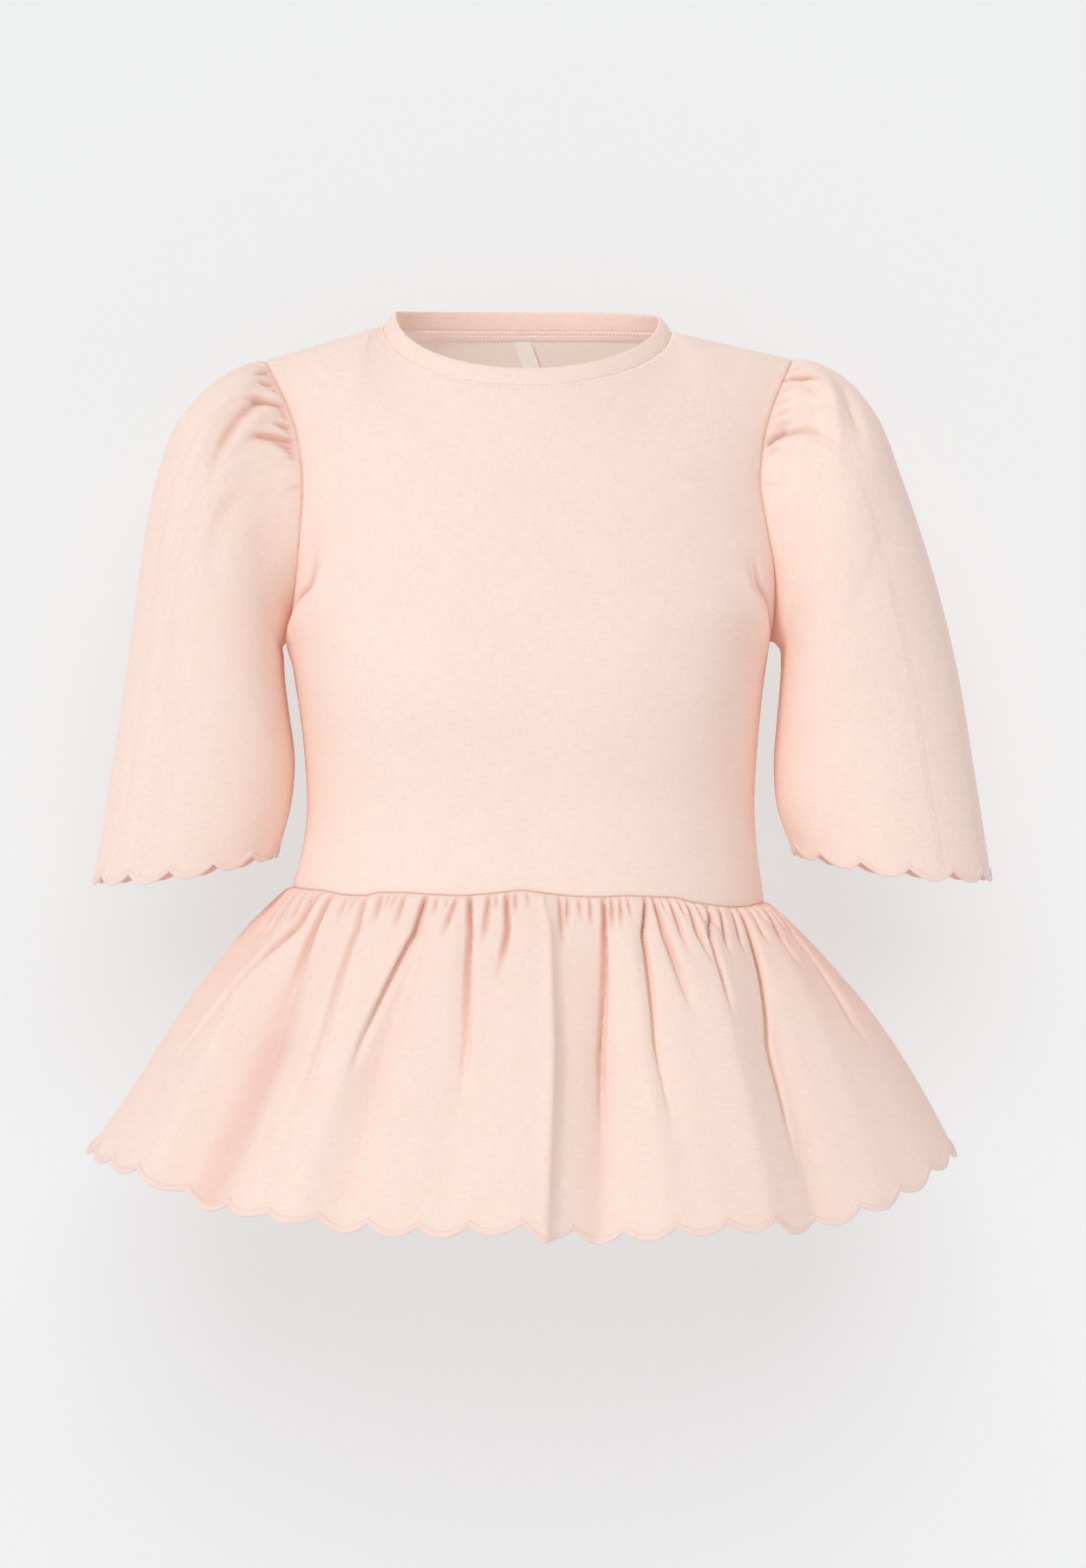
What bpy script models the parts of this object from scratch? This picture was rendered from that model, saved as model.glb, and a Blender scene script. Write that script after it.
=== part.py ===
"""Peplum top with a jersey bodice, round neckband, puff half sleeves and a gathered, scalloped peplum.

Metres, +Z up, the front faces -Y, the wearer's right is -X. The origin is midway between the high points
of the two shoulder seams, where a wearer carries it. The top is filled out as if worn, with nobody in it.
Every piece is a closed wall of cloth: a grid of points is the outer face, and the inner face is the same
grid moved in by the cloth's thickness.
"""
import bpy
import numpy as np

# Driving sizes
CLOTH = 0.0015
BAND_CLOTH = 0.0024
TRIM_CLOTH = 0.0010
SEAM_GAP = 0.0003
SHOULDER_SEAM_Y = 0.002
NECKBAND_HEIGHT = 0.0122
TAPE_WIDTH_ROWS = 1
LABEL_WIDTH = 0.0115
LABEL_LENGTH = 0.034
LABEL_LEAN = 0.010
LABEL_X = -0.0055
PEPLUM_CUT_DEPTH = 0.217
PEPLUM_LEFT_SIDE_LIFT = 0.010
PEPLUM_RIGHT_SIDE_LIFT = 0.0035
WAIST_TILT = 0.0052
SCALLOP_DEPTH = 0.0070
PEPLUM_SCALLOPS_A_HALF = 22
PEPLUM_COLUMNS_A_SCALLOP = 5
SLEEVE_SCALLOPS = 13
SLEEVE_COLUMNS_A_SCALLOP = 4
WAIST_GATHER = 0.0021
SLEEVE_GATHER = 0.0022
SLEEVE_HEM_DROOP = 0.005
NECK_COLUMNS = 14
SHOULDER_COLUMNS = 4
NECK_SHARE = 0.568

# The hem of the peplum: the half widths and depths of the ring on which it hangs
HEM = dict(left=-0.2865, right=0.2765, front=0.163, back=0.150)

# High points of the shoulder seams at the neck, shoulder points at the sleeve, middle of the neck seam
NECK_POINT = dict(left=(-0.0955, 0.0026), right=(0.0922, -0.0014))
SHOULDER_POINT = dict(left=(-0.1733, -0.0206), right=(0.1716, -0.0198))
NECK_MIDDLE = dict(front=(-0.084, -0.0425), back=(0.057, 0.0040))


def table(names, *rows):
    """The columns of a small table, by name."""
    return dict(zip(names.split(), np.array(rows, dtype=float).T))


# Bodice below the underarm, from the waist seam up. full is how squarely the section is filled.
BODY = table(
    "height   left     right    front    back    front_full back_full",
    (-0.3700, -0.1555, 0.1535, -0.1060, 0.0890, 1.15, 1.12),
    (-0.3450, -0.1500, 0.1492, -0.1035, 0.0870, 1.15, 1.12),
    (-0.3180, -0.1462, 0.1472, -0.1040, 0.0870, 1.18, 1.12),
    (-0.2850, -0.1472, 0.1482, -0.1110, 0.0910, 1.24, 1.14),
    (-0.2500, -0.1510, 0.1512, -0.1205, 0.0970, 1.32, 1.18),
    (-0.2220, -0.1555, 0.1545, -0.1240, 0.1020, 1.32, 1.20),
    (-0.2060, -0.1580, 0.1570, -0.1225, 0.1045, 1.28, 1.20))

# Bodice between the armholes, from the underarm up: the armhole's edge at each side, and the panel's middle.
# turn is how far the section wraps round, in degrees.
FRONT_CHEST = table(
    "edge_height left    right   edge_y  middle_height middle_y turn full",
    (-0.1960, -0.1570, 0.1585, -0.0210, -0.1970, -0.1210, 88, 1.24),
    (-0.1800, -0.1540, 0.1595, -0.0350, -0.1830, -0.1190, 82, 1.18),
    (-0.1580, -0.1510, 0.1585, -0.0465, -0.1630, -0.1150, 74, 1.12),
    (-0.1320, -0.1485, 0.1535, -0.0540, -0.1400, -0.1105, 67, 1.08),
    (-0.1040, -0.1468, 0.1490, -0.0560, -0.1160, -0.1060, 62, 1.05),
    (-0.0760, -0.1500, 0.1515, -0.0505, -0.0920, -0.1005, 58, 1.03))
BACK_CHEST = table(
    "edge_height left    right   edge_y  middle_height middle_y turn full",
    (-0.1960, -0.1570, 0.1580, 0.0200, -0.1960, 0.1060, 88, 1.18),
    (-0.1800, -0.1562, 0.1577, 0.0330, -0.1790, 0.1080, 82, 1.15),
    (-0.1580, -0.1560, 0.1575, 0.0430, -0.1550, 0.1085, 74, 1.12),
    (-0.1320, -0.1565, 0.1575, 0.0490, -0.1280, 0.1080, 67, 1.10),
    (-0.1040, -0.1580, 0.1585, 0.0510, -0.0980, 0.1050, 62, 1.08),
    (-0.0760, -0.1610, 0.1610, 0.0470, -0.0640, 0.0970, 58, 1.06))

# Sleeves, from the armhole out: the outermost and the underarm point of each ring as seen from the front,
# and how far it reaches to the front and back.
SLEEVE_RIGHT = table(
    "outer_x  outer_height under_x under_height front  back",
    (-0.1890, -0.0255, -0.1605, -0.2060, -0.0680, 0.0630),
    (-0.2090, -0.0375, -0.1625, -0.2085, -0.0750, 0.0700),
    (-0.2285, -0.0605, -0.1620, -0.2150, -0.0795, 0.0740),
    (-0.2440, -0.0990, -0.1612, -0.2290, -0.0810, 0.0760),
    (-0.2545, -0.1560, -0.1585, -0.2510, -0.0790, 0.0760),
    (-0.2632, -0.2200, -0.1546, -0.2820, -0.0750, 0.0730),
    (-0.2742, -0.2940, -0.1570, -0.3120, -0.0720, 0.0700),
    (-0.2845, -0.3570, -0.1645, -0.3400, -0.0700, 0.0680))
SLEEVE_LEFT = table(
    "outer_x outer_height under_x under_height front  back",
    (0.1860, -0.0230, 0.1614, -0.2065, -0.0670, 0.0620),
    (0.2055, -0.0330, 0.1642, -0.2100, -0.0745, 0.0690),
    (0.2250, -0.0550, 0.1650, -0.2185, -0.0800, 0.0740),
    (0.2420, -0.0960, 0.1642, -0.2365, -0.0820, 0.0770),
    (0.2608, -0.1510, 0.1622, -0.2580, -0.0800, 0.0770),
    (0.2785, -0.2190, 0.1602, -0.2860, -0.0760, 0.0740),
    (0.2912, -0.2930, 0.1625, -0.3140, -0.0730, 0.0710),
    (0.3010, -0.3550, 0.1712, -0.3390, -0.0700, 0.0680))

# Large folds of the peplum: place across the front or back at the waist, half way down and at the hem, as a
# share of the half width there (-1 is the wearer's right side); how far it stands out (+) or sinks in (-);
# its half width as such a share; and how far down it starts and ends.
FRONT_FOLDS = table(
    "waist  middle  hem    rise     width  start  end",
    (-0.82, -0.76, -0.72, -0.0060, 0.050, 0.05, 0.80),
    (-0.66, -0.62, -0.60, -0.0080, 0.050, 0.05, 1.30),
    (-0.54, -0.52, -0.55, 0.0070, 0.060, 0.10, 1.30),
    (-0.44, -0.44, -0.46, -0.0085, 0.060, 0.05, 1.30),
    (-0.32, -0.30, -0.28, 0.0060, 0.070, 0.15, 1.30),
    (-0.23, -0.16, -0.15, -0.0060, 0.045, 0.05, 0.90),
    (-0.05, 0.02, 0.01, 0.0110, 0.060, 0.08, 1.30),
    (0.06, 0.13, 0.10, -0.0100, 0.050, 0.05, 1.30),
    (0.29, 0.24, 0.25, 0.0050, 0.060, 0.15, 1.30),
    (0.32, 0.30, 0.33, -0.0080, 0.040, 0.05, 0.90),
    (0.52, 0.46, 0.44, -0.0060, 0.045, 0.05, 0.80),
    (0.62, 0.56, 0.52, 0.0070, 0.060, 0.10, 1.30),
    (0.70, 0.64, 0.58, -0.0085, 0.045, 0.05, 1.30),
    (0.86, 0.78, 0.76, 0.0065, 0.060, 0.10, 1.30),
    (0.94, 0.90, 0.88, -0.0050, 0.045, 0.05, 0.80))
BACK_FOLDS = table(
    "waist  middle  hem    rise     width  start  end",
    (-0.90, -0.84, -0.80, -0.0060, 0.050, 0.05, 0.80),
    (-0.74, -0.70, -0.66, 0.0070, 0.060, 0.10, 1.30),
    (-0.62, -0.58, -0.56, -0.0085, 0.050, 0.05, 1.30),
    (-0.40, -0.38, -0.34, 0.0080, 0.070, 0.10, 1.30),
    (-0.26, -0.22, -0.20, -0.0090, 0.055, 0.05, 1.30),
    (-0.08, -0.06, -0.08, 0.0060, 0.060, 0.15, 1.30),
    (0.10, 0.08, 0.06, -0.0080, 0.050, 0.05, 1.30),
    (0.28, 0.26, 0.22, 0.0090, 0.065, 0.08, 1.30),
    (0.42, 0.38, 0.36, -0.0070, 0.050, 0.05, 0.90),
    (0.60, 0.54, 0.50, 0.0070, 0.060, 0.12, 1.30),
    (0.74, 0.70, 0.66, -0.0080, 0.050, 0.05, 1.30),
    (0.90, 0.85, 0.82, 0.0060, 0.055, 0.10, 0.90))

# Rows of points down each piece, as shares of its depth, closer together where it bends most
BODICE_TOP_ROWS = (0.35, 0.65, 0.86, 1.0)
SLEEVE_ROWS = (0.0, 1.0, 2.0, 3.0, 4.0, 5.0, 6.4, 8.0)
PEPLUM_ROWS = (0.0, 0.05, 0.14, 0.28, 0.50, 0.78, 1.0)


def unit(vectors):
    """Vectors of length one."""
    return vectors / np.linalg.norm(vectors, axis=-1, keepdims=True)


def mix(a, b, share):
    """The value that lies a given share of the way from a to b."""
    return a + (b - a) * share


def rise(x):
    """0 below 0, 1 above 1, and a smooth step between."""
    x = np.clip(x, 0.0, 1.0)
    return x * x * (3.0 - 2.0 * x)


def through(rows, places, last=None):
    """Smooth curves through the rows of points [row, column, 3], read at row numbers, such as 2.5.

    Each piece is a cubic. The slope at a row is the mean of the chords on either side, each weighted by
    the other's length; last is the direction in which the curves end."""
    step = rows[1:] - rows[:-1]
    chord = np.linalg.norm(step, axis=-1, keepdims=True)
    slope = step / chord
    inner = (slope[:-1] * chord[1:] + slope[1:] * chord[:-1]) / (chord[1:] + chord[:-1])
    end = slope[-1:] if last is None else last[None]
    slopes = np.concatenate([slope[:1], inner, end])
    places = np.asarray(places, dtype=float)
    cell = np.clip(places.astype(int), 0, len(rows) - 2)
    f = (places - cell)[:, None, None]
    pull = chord[cell]
    return ((1 + 2 * f) * (1 - f) ** 2 * rows[cell] + f * (1 - f) ** 2 * pull * slopes[cell]
            + f * f * (3 - 2 * f) * rows[cell + 1] + f * f * (f - 1) * pull * slopes[cell + 1])


def along(path, values, shares):
    """Values given at the points of a path, read at shares of its length by straight lines."""
    reach = np.concatenate([[0.0], np.cumsum(np.linalg.norm(np.diff(path, axis=0), axis=1))])
    at = np.asarray(shares) * reach[-1]
    return np.stack([np.interp(at, reach, values[:, i]) for i in range(values.shape[1])], axis=1)


def outward(grid, ring=False):
    """Unit normals of a grid whose columns run counter-clockwise from above and whose rows run up."""
    if ring:
        wide = np.concatenate([grid[:, -1:], grid, grid[:, :1]], axis=1)
        across = (wide[:, 2:] - wide[:, :-2]) / 2
    else:
        across = np.gradient(grid, axis=1)
    return unit(np.cross(across, np.gradient(grid, axis=0)))


def shell(name, outer, inner, ring, material):
    """One closed wall between two grids of points, its rims closed; ring joins the last column to the first."""
    rows, columns = outer.shape[:2]
    ids = np.arange(rows * columns).reshape(rows, columns)
    if ring:
        ids = np.concatenate([ids, ids[:, :1]], axis=1)
    under = ids + rows * columns

    def quads(a, b, c, d):
        corners = np.stack([a, b, c, d], axis=-1).reshape(-1, 4)
        return np.concatenate([corners[:, [0, 1, 2]], corners[:, [0, 2, 3]]])

    faces = [quads(ids[:-1, :-1], ids[:-1, 1:], ids[1:, 1:], ids[1:, :-1]),
             quads(under[:-1, :-1], under[1:, :-1], under[1:, 1:], under[:-1, 1:]),
             quads(ids[0, :-1], under[0, :-1], under[0, 1:], ids[0, 1:]),
             quads(ids[-1, :-1], ids[-1, 1:], under[-1, 1:], under[-1, :-1])]
    if not ring:
        faces.append(quads(ids[1:, 0], under[1:, 0], under[:-1, 0], ids[:-1, 0]))
        faces.append(quads(ids[:-1, -1], under[:-1, -1], under[1:, -1], ids[1:, -1]))
    points = np.concatenate([outer.reshape(-1, 3), inner.reshape(-1, 3)])
    mesh = bpy.data.meshes.new(name)
    mesh.from_pydata(points.tolist(), [], np.concatenate(faces).tolist())
    mesh.shade_smooth()
    mesh.set_sharp_from_angle(angle=np.radians(50))
    mesh.materials.append(material)
    piece = bpy.data.objects.new(name, mesh)
    bpy.context.scene.collection.objects.link(piece)
    return piece


def finish(name, colour, roughness):
    """A plain cloth material."""
    material = bpy.data.materials.new(name)
    material.use_nodes = True
    shader = material.node_tree.nodes["Principled BSDF"]
    shader.inputs["Base Color"].default_value = (*colour, 1.0)
    shader.inputs["Roughness"].default_value = roughness
    shader.inputs["Metallic"].default_value = 0.0
    return material


def section(t, left, right, edge_y, middle_y, edge_height, middle_height, turn, full):
    """One row across a panel, t running from -1 at its left edge to 1 at its right.

    It is an arc of an ellipse that wraps round by turn degrees and is filled out by full; where the panel's
    middle and edges lie at different heights, the row rises or falls like the same arc."""
    wrap = np.radians(turn)
    bow = (np.cos(t * wrap) - np.cos(wrap)) / (1 - np.cos(wrap))
    bulge = 1 - (1 - bow) ** full
    x = mix(left, right, 0.5) + (right - left) / 2 * np.sin(t * wrap) / np.sin(wrap)
    return np.stack([x, mix(edge_y, middle_y, bulge), mix(edge_height, middle_height, bow)], axis=-1)


def neckline(s, side):
    """The seam of the neckband on one panel: half an ellipse from high point to high point, s from -1 to 1."""
    angle = s * np.pi / 2
    (left_x, left_z), (right_x, right_z) = NECK_POINT["left"], NECK_POINT["right"]
    middle_y, middle_z = NECK_MIDDLE[side]
    high = mix(left_z, right_z, (1 + np.sin(angle)) / 2)
    x = mix(left_x, right_x, (1 + np.sin(angle)) / 2)
    y = mix(SHOULDER_SEAM_Y, middle_y, np.cos(angle))
    z = mix(high, middle_z, np.cos(angle))
    return np.stack([x, y, z], axis=-1)


def panel_columns():
    """Places across a bodice panel: the two shoulders, and the neck between them."""
    shoulder = np.linspace(-1, -NECK_SHARE, SHOULDER_COLUMNS + 1)
    neck = np.linspace(-NECK_SHARE, NECK_SHARE, NECK_COLUMNS + 1)
    return np.concatenate([shoulder[:-1], neck, -shoulder[:-1][::-1]])


def panel(side):
    """The front or back of the bodice as points [row, column, 3], rows from the waist up.

    The rows follow BODY up to the underarm and then the armholes; the last one is the shoulder seams and
    the neck seam between them, where the cloth has turned over the top of the shoulder."""
    front = side == "front"
    away = -1 if front else 1
    t = panel_columns()
    chest = FRONT_CHEST if front else BACK_CHEST
    half_gap = away * SEAM_GAP / 2
    rows = []
    for k in range(len(BODY["height"])):
        height = BODY["height"][k]
        rows.append(section(t, BODY["left"][k], BODY["right"][k], half_gap, BODY[side][k], height, height,
                            90, BODY[side + "_full"][k]))
    rows[0][:, 2] -= WAIST_TILT * t
    for k in range(len(chest["turn"])):
        rows.append(section(t, chest["left"][k], chest["right"][k], chest["edge_y"][k], chest["middle_y"][k],
                            chest["edge_height"][k], chest["middle_height"][k], chest["turn"][k],
                            chest["full"][k]))
    top = neckline(np.clip(t / NECK_SHARE, -1, 1), side)
    for name, sign in (("left", -1), ("right", 1)):
        out = np.clip((sign * t - NECK_SHARE) / (1 - NECK_SHARE), 0, 1)[:, None]
        point = np.array([SHOULDER_POINT[name][0], SHOULDER_SEAM_Y, SHOULDER_POINT[name][1]])
        top = mix(top, point, out)
    top[:, 1] += half_gap
    rows.append(top)
    steep = np.cos(np.clip(t / NECK_SHARE, -1, 1) * np.pi / 2)
    inwards = 0.8 * (1 - steep ** 2) * np.exp(-np.clip(abs(t) - NECK_SHARE, 0, 1) / 0.12)
    ends = unit(np.stack([-np.sign(t) * inwards, -away * (1 - 0.35 * steep), 1.1 * steep + 0.3 * inwards],
                         axis=-1))
    bottom = np.arange(len(rows) - 1)
    places = np.concatenate([bottom, bottom[-1] + np.array(BODICE_TOP_ROWS)])
    grid = through(np.stack(rows), places, ends)
    return grid if front else grid[:, ::-1]


def seam_directions(front, back):
    """Which way the cloth's thickness goes at every point of both panels, outwards.

    It is the normal, but along the armholes it leans to the armhole's own outward direction, so that the
    sleeve and the panel can meet on one plane."""
    result = []
    for grid in (front, back):
        normal = outward(grid)
        lowest = len(BODY["height"]) - 1
        for column in (0, -1):
            edge = grid[lowest:, column]
            middle = np.array([edge[0, 0], 0.0, (edge[0, 2] + edge[-1, 2]) / 2])
            away = edge - middle
            away[:, 0] = 0.0
            normal[lowest:, column] = unit(normal[lowest:, column] + unit(away))
        result.append(normal)
    for row in range(len(front)):
        for a, b in ((0, -1), (-1, 0)):
            if row >= len(BODY["height"]) and row < len(front) - 1:
                continue
            shared = unit(result[0][row, a] + result[1][row, b])
            result[0][row, a] = shared
            result[1][row, b] = shared
    count = front.shape[1]
    for column in range(SHOULDER_COLUMNS + 1):
        for c in (column, count - 1 - column):
            shared = unit(result[0][-1, c] + result[1][-1, count - 1 - c])
            result[0][-1, c] = shared
            result[1][-1, count - 1 - c] = shared
    return result


def armhole(front, back, directions, wearer):
    """The armhole's edge and its wall directions: from the shoulder down one panel and up the other."""
    lowest = len(BODY["height"]) - 1
    front_side, back_side = (0, -1) if wearer == "right" else (-1, 0)
    edges = [front[lowest:, front_side][::-1], back[lowest:, back_side]]
    walls = [directions[0][lowest:, front_side][::-1], directions[1][lowest:, back_side]]
    if wearer == "left":
        edges = [edges[1][::-1], edges[0][::-1]]
        walls = [walls[1][::-1], walls[0][::-1]]
    return edges, walls


def sleeve(front, back, directions, wearer):
    """Outer points and wall directions of a sleeve [row, column, 3], rows from the hem up to the armhole.

    Each ring is an ellipse from the outer point of its row in the table to the underarm point. The first
    ring is the armhole's edge, moved out by the seam gap. Small gathers stand out of the head, and the hem
    is cut in scallops."""
    rings = SLEEVE_RIGHT if wearer == "right" else SLEEVE_LEFT
    count = SLEEVE_SCALLOPS * SLEEVE_COLUMNS_A_SCALLOP
    turn = np.arange(count) / count
    angle = 2 * np.pi * turn
    edges, walls = armhole(front, back, directions, wearer)
    first = turn < 0.5
    edge = np.where(first[:, None], along(edges[0], edges[0], np.clip(turn * 2, 0, 1)),
                    along(edges[1], edges[1], np.clip(turn * 2 - 1, 0, 1)))
    wall_way = unit(np.where(first[:, None], along(edges[0], walls[0], np.clip(turn * 2, 0, 1)),
                             along(edges[1], walls[1], np.clip(turn * 2 - 1, 0, 1))))
    tangent = np.roll(edge, -1, axis=0) - np.roll(edge, 1, axis=0)
    rows = [edge + SEAM_GAP * unit(np.cross(tangent, wall_way))]
    toward = 1 if wearer == "right" else -1
    for k in range(len(rings["front"])):
        outer = np.array([rings["outer_x"][k], rings["outer_height"][k]])
        under = np.array([rings["under_x"][k], rings["under_height"][k]])
        across = np.cos(angle)
        depth = np.sin(angle) * toward
        spot = mix(under, outer, (1 + across[:, None]) / 2)
        y = np.where(depth > 0, rings["front"][k] * depth, -rings["back"][k] * depth)
        droop = SLEEVE_HEM_DROOP * depth ** 2 * rise((k - 4) / 3)
        rows.append(np.stack([spot[:, 0], y, spot[:, 1] - droop], axis=-1))
    grid = through(np.stack(rows), SLEEVE_ROWS)[::-1]
    normal = outward(grid, ring=True)
    crest = np.where(np.arange(count) % 2 == 0, 1.0, -1.0) * rise((np.cos(angle) + 0.30) * 2)
    fade = np.array([0, 0, 0, 0, 0.25, 0.55, 1.0, 0.0])[:, None]
    grid = grid + normal * (SLEEVE_GATHER * crest * fade)[..., None]
    down = unit(grid[0] - grid[1])
    scallop = np.abs(np.sin(np.pi * SLEEVE_SCALLOPS * turn))
    grid[0] += down * (SCALLOP_DEPTH * scallop)[:, None]
    normal[-1] = wall_way
    return grid, normal


def evenly(points, count):
    """A path resampled to count steps of the same length."""
    return along(points, points, np.linspace(0, 1, count + 1))


def peplum(side, waist, waist_wall):
    """Outer points and wall directions of half the peplum [row, column, 3], rows from the hem up.

    It hangs from the waist's edge to a ring of half ellipses, cut to the same depth all round, so it hangs
    highest where it spreads most. It spreads fastest just below the seam. Gathers stand up at the seam and
    melt into the large folds, and the hem is cut in scallops."""
    front = side == "front"
    count = PEPLUM_SCALLOPS_A_HALF * PEPLUM_COLUMNS_A_SCALLOP
    shares = np.linspace(0, 1, count + 1)
    top = along(waist, waist, shares)
    top[:, 2] -= SEAM_GAP
    wall_way = unit(along(waist, waist_wall, shares))
    angle = np.linspace(-np.pi / 2, np.pi / 2, 200)
    middle = (HEM["left"] + HEM["right"]) / 2
    half = (HEM["right"] - HEM["left"]) / 2
    sign = 1 if front else -1
    depth = -HEM["front"] if front else HEM["back"]
    ring = np.stack([middle + sign * half * np.sin(angle), depth * np.cos(angle)], axis=-1)
    hem = evenly(ring, count)
    hem[[0, -1], 1] += (-1 if front else 1) * SEAM_GAP
    reach = np.linalg.norm(hem - top[:, :2], axis=1)
    place = (hem[:, 0] - middle) / half
    lift_up = PEPLUM_LEFT_SIDE_LIFT * rise((place - 0.6) / 0.4) + PEPLUM_RIGHT_SIDE_LIFT * rise((-place - 0.45) / 0.35)
    drop = np.sqrt((PEPLUM_CUT_DEPTH - lift_up) ** 2 - reach ** 2)
    v = np.array(PEPLUM_ROWS)[::-1, None]
    spread = v + 0.58 * v * (1 - v) ** 2 + (0.16 + 0.19 * place) * v * v * (1 - v)
    grid = np.stack([mix(top[:, 0], hem[:, 0], spread), mix(top[:, 1], hem[:, 1], spread),
                     top[:, 2] - drop * v], axis=-1)
    normal = outward(grid)
    half_width = mix(0.1545, half, spread)
    across = (grid[..., 0] - middle * v) / half_width
    folds = FRONT_FOLDS if front else BACK_FOLDS
    lift = np.zeros(across.shape)
    for k in range(len(folds["rise"])):
        place = np.where(v < 0.5, mix(folds["waist"][k], folds["middle"][k], 2 * v),
                         mix(folds["middle"][k], folds["hem"][k], 2 * v - 1))
        grow = rise((v - folds["start"][k]) / 0.30) * rise((folds["end"][k] - v) / 0.30)
        lift += folds["rise"][k] * grow * np.exp(-((across - place) / folds["width"][k]) ** 2)
    edge = rise((1 - np.abs(2 * shares - 1)) / 0.06)
    grid = grid + normal * (lift * edge)[..., None]
    wall = outward(grid)
    crest = np.where(np.arange(count + 1) % 2 == 0, -1.0, 1.0)
    fade = np.interp(v, (0.0, 0.05, 0.14, 0.28, 0.50), (0.45, 1.0, 0.9, 0.5, 0.0))
    crest[[0, -1]] = 0.0
    gather_way = wall.copy()
    gather_way[-1] = unit(wall_way * np.array([1.0, 1.0, 0.0]))
    grid = grid + gather_way * (WAIST_GATHER * crest * fade)[..., None]
    down = unit(grid[0] - grid[1])
    scallop = np.abs(np.sin(np.pi * PEPLUM_SCALLOPS_A_HALF * shares))
    grid[0] += down * (SCALLOP_DEPTH * scallop)[:, None]
    wall[-1] = wall_way
    wall[:, [0, -1]] *= np.array([1.0, 0.0, 1.0])
    return grid, unit(wall)


def neckband(front, back, directions):
    """Outer and inner points of the band: a ring on the neck seam that leans in as it rises."""
    first = SHOULDER_COLUMNS
    last = SHOULDER_COLUMNS + NECK_COLUMNS
    seam = np.concatenate([front[-1, first:last], back[-1, first:last]])
    wall_way = np.concatenate([directions[0][-1, first:last], directions[1][-1, first:last]])
    inwards = unit((seam.mean(axis=0) - seam) * np.array([1.0, 1.0, 0.0]))
    upright = np.array([0.0, 0.0, 1.0])
    forward = np.clip(-seam[:, 1:2] / 0.084, 0, 1)
    behind = np.clip(seam[:, 1:2] / 0.057, 0, 1)
    lean = 0.72 - 0.25 * forward - 0.62 * behind
    rise_way = unit(upright + inwards * lean / np.sqrt(1 - 0.5 * lean ** 2))
    foot = seam + rise_way * SEAM_GAP * 1.4
    grid = np.stack([foot, foot + rise_way * NECKBAND_HEIGHT * 0.55, foot + rise_way * NECKBAND_HEIGHT])
    wall = outward(grid, ring=True)
    grid[1] += wall[1] * 0.0004
    wall *= BAND_CLOTH
    wall[0] = wall_way * CLOTH
    return grid, grid - wall


def build():
    """All the pieces."""
    for piece in list(bpy.data.objects):
        bpy.data.objects.remove(piece, do_unlink=True)
    jersey = finish("jersey", (0.905, 0.700, 0.620), 0.85)
    woven = finish("woven_cotton", (0.910, 0.690, 0.620), 0.80)
    bare_label = finish("bare_label", (0.72, 0.72, 0.70), 0.70)

    front = panel("front")
    back = panel("back")
    directions = seam_directions(front, back)
    inner_back = back - directions[1] * CLOTH
    shell("bodice_front", front, front - directions[0] * CLOTH, False, jersey)
    shell("bodice_back", back, inner_back, False, jersey)

    band, inner_band = neckband(front, back, directions)
    shell("neckband", band, inner_band, True, jersey)

    first = SHOULDER_COLUMNS + 1
    last = SHOULDER_COLUMNS + NECK_COLUMNS
    strip = slice(-1 - TAPE_WIDTH_ROWS, None)
    tape = inner_back[strip, first:last] - directions[1][strip, first:last] * SEAM_GAP
    shell("neck_tape", tape, tape - directions[1][strip, first:last] * TRIM_CLOTH, False, jersey)

    middle = tape.shape[1] // 2
    hang = unit(inner_back[-3, first + middle] - inner_back[-2, first + middle])
    face = directions[1][-2, first + middle]
    across = unit(np.cross(face, hang))
    top = tape[0, middle] + hang * SEAM_GAP * 2 - face * 0.0008
    top = top + across * (LABEL_X - top[0]) * np.sign(across[0])
    width = np.array([-0.5, 0.5])[None, :, None] * LABEL_WIDTH * across
    length = np.array([1.0, 0.0])[:, None, None]
    label = top + width + length * (hang * LABEL_LENGTH - face * 0.002 + np.array([LABEL_LEAN, 0, 0]))
    shell("neck_label", label, label - face * TRIM_CLOTH, False, bare_label)

    for wearer in ("right", "left"):
        grid, wall = sleeve(front, back, directions, wearer)
        shell("sleeve_" + wearer, grid, grid - wall * CLOTH, True, woven)

    for side, bodice, wall_way in (("front", front, directions[0]), ("back", back, directions[1])):
        grid, wall = peplum(side, bodice[0], wall_way[0])
        shell("peplum_" + side, grid, grid - wall * CLOTH, False, woven)


build()
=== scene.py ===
"""Peplum top with a jersey bodice, neckband, puff half sleeves and a gathered, scalloped peplum.

Metres, +Z up, the front faces -Y, the wearer's right is -X. The cloth follows the solids' own form, as
smooth curves through the same sections, and adds the creases, gathers, edging and sewing.
"""

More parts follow.
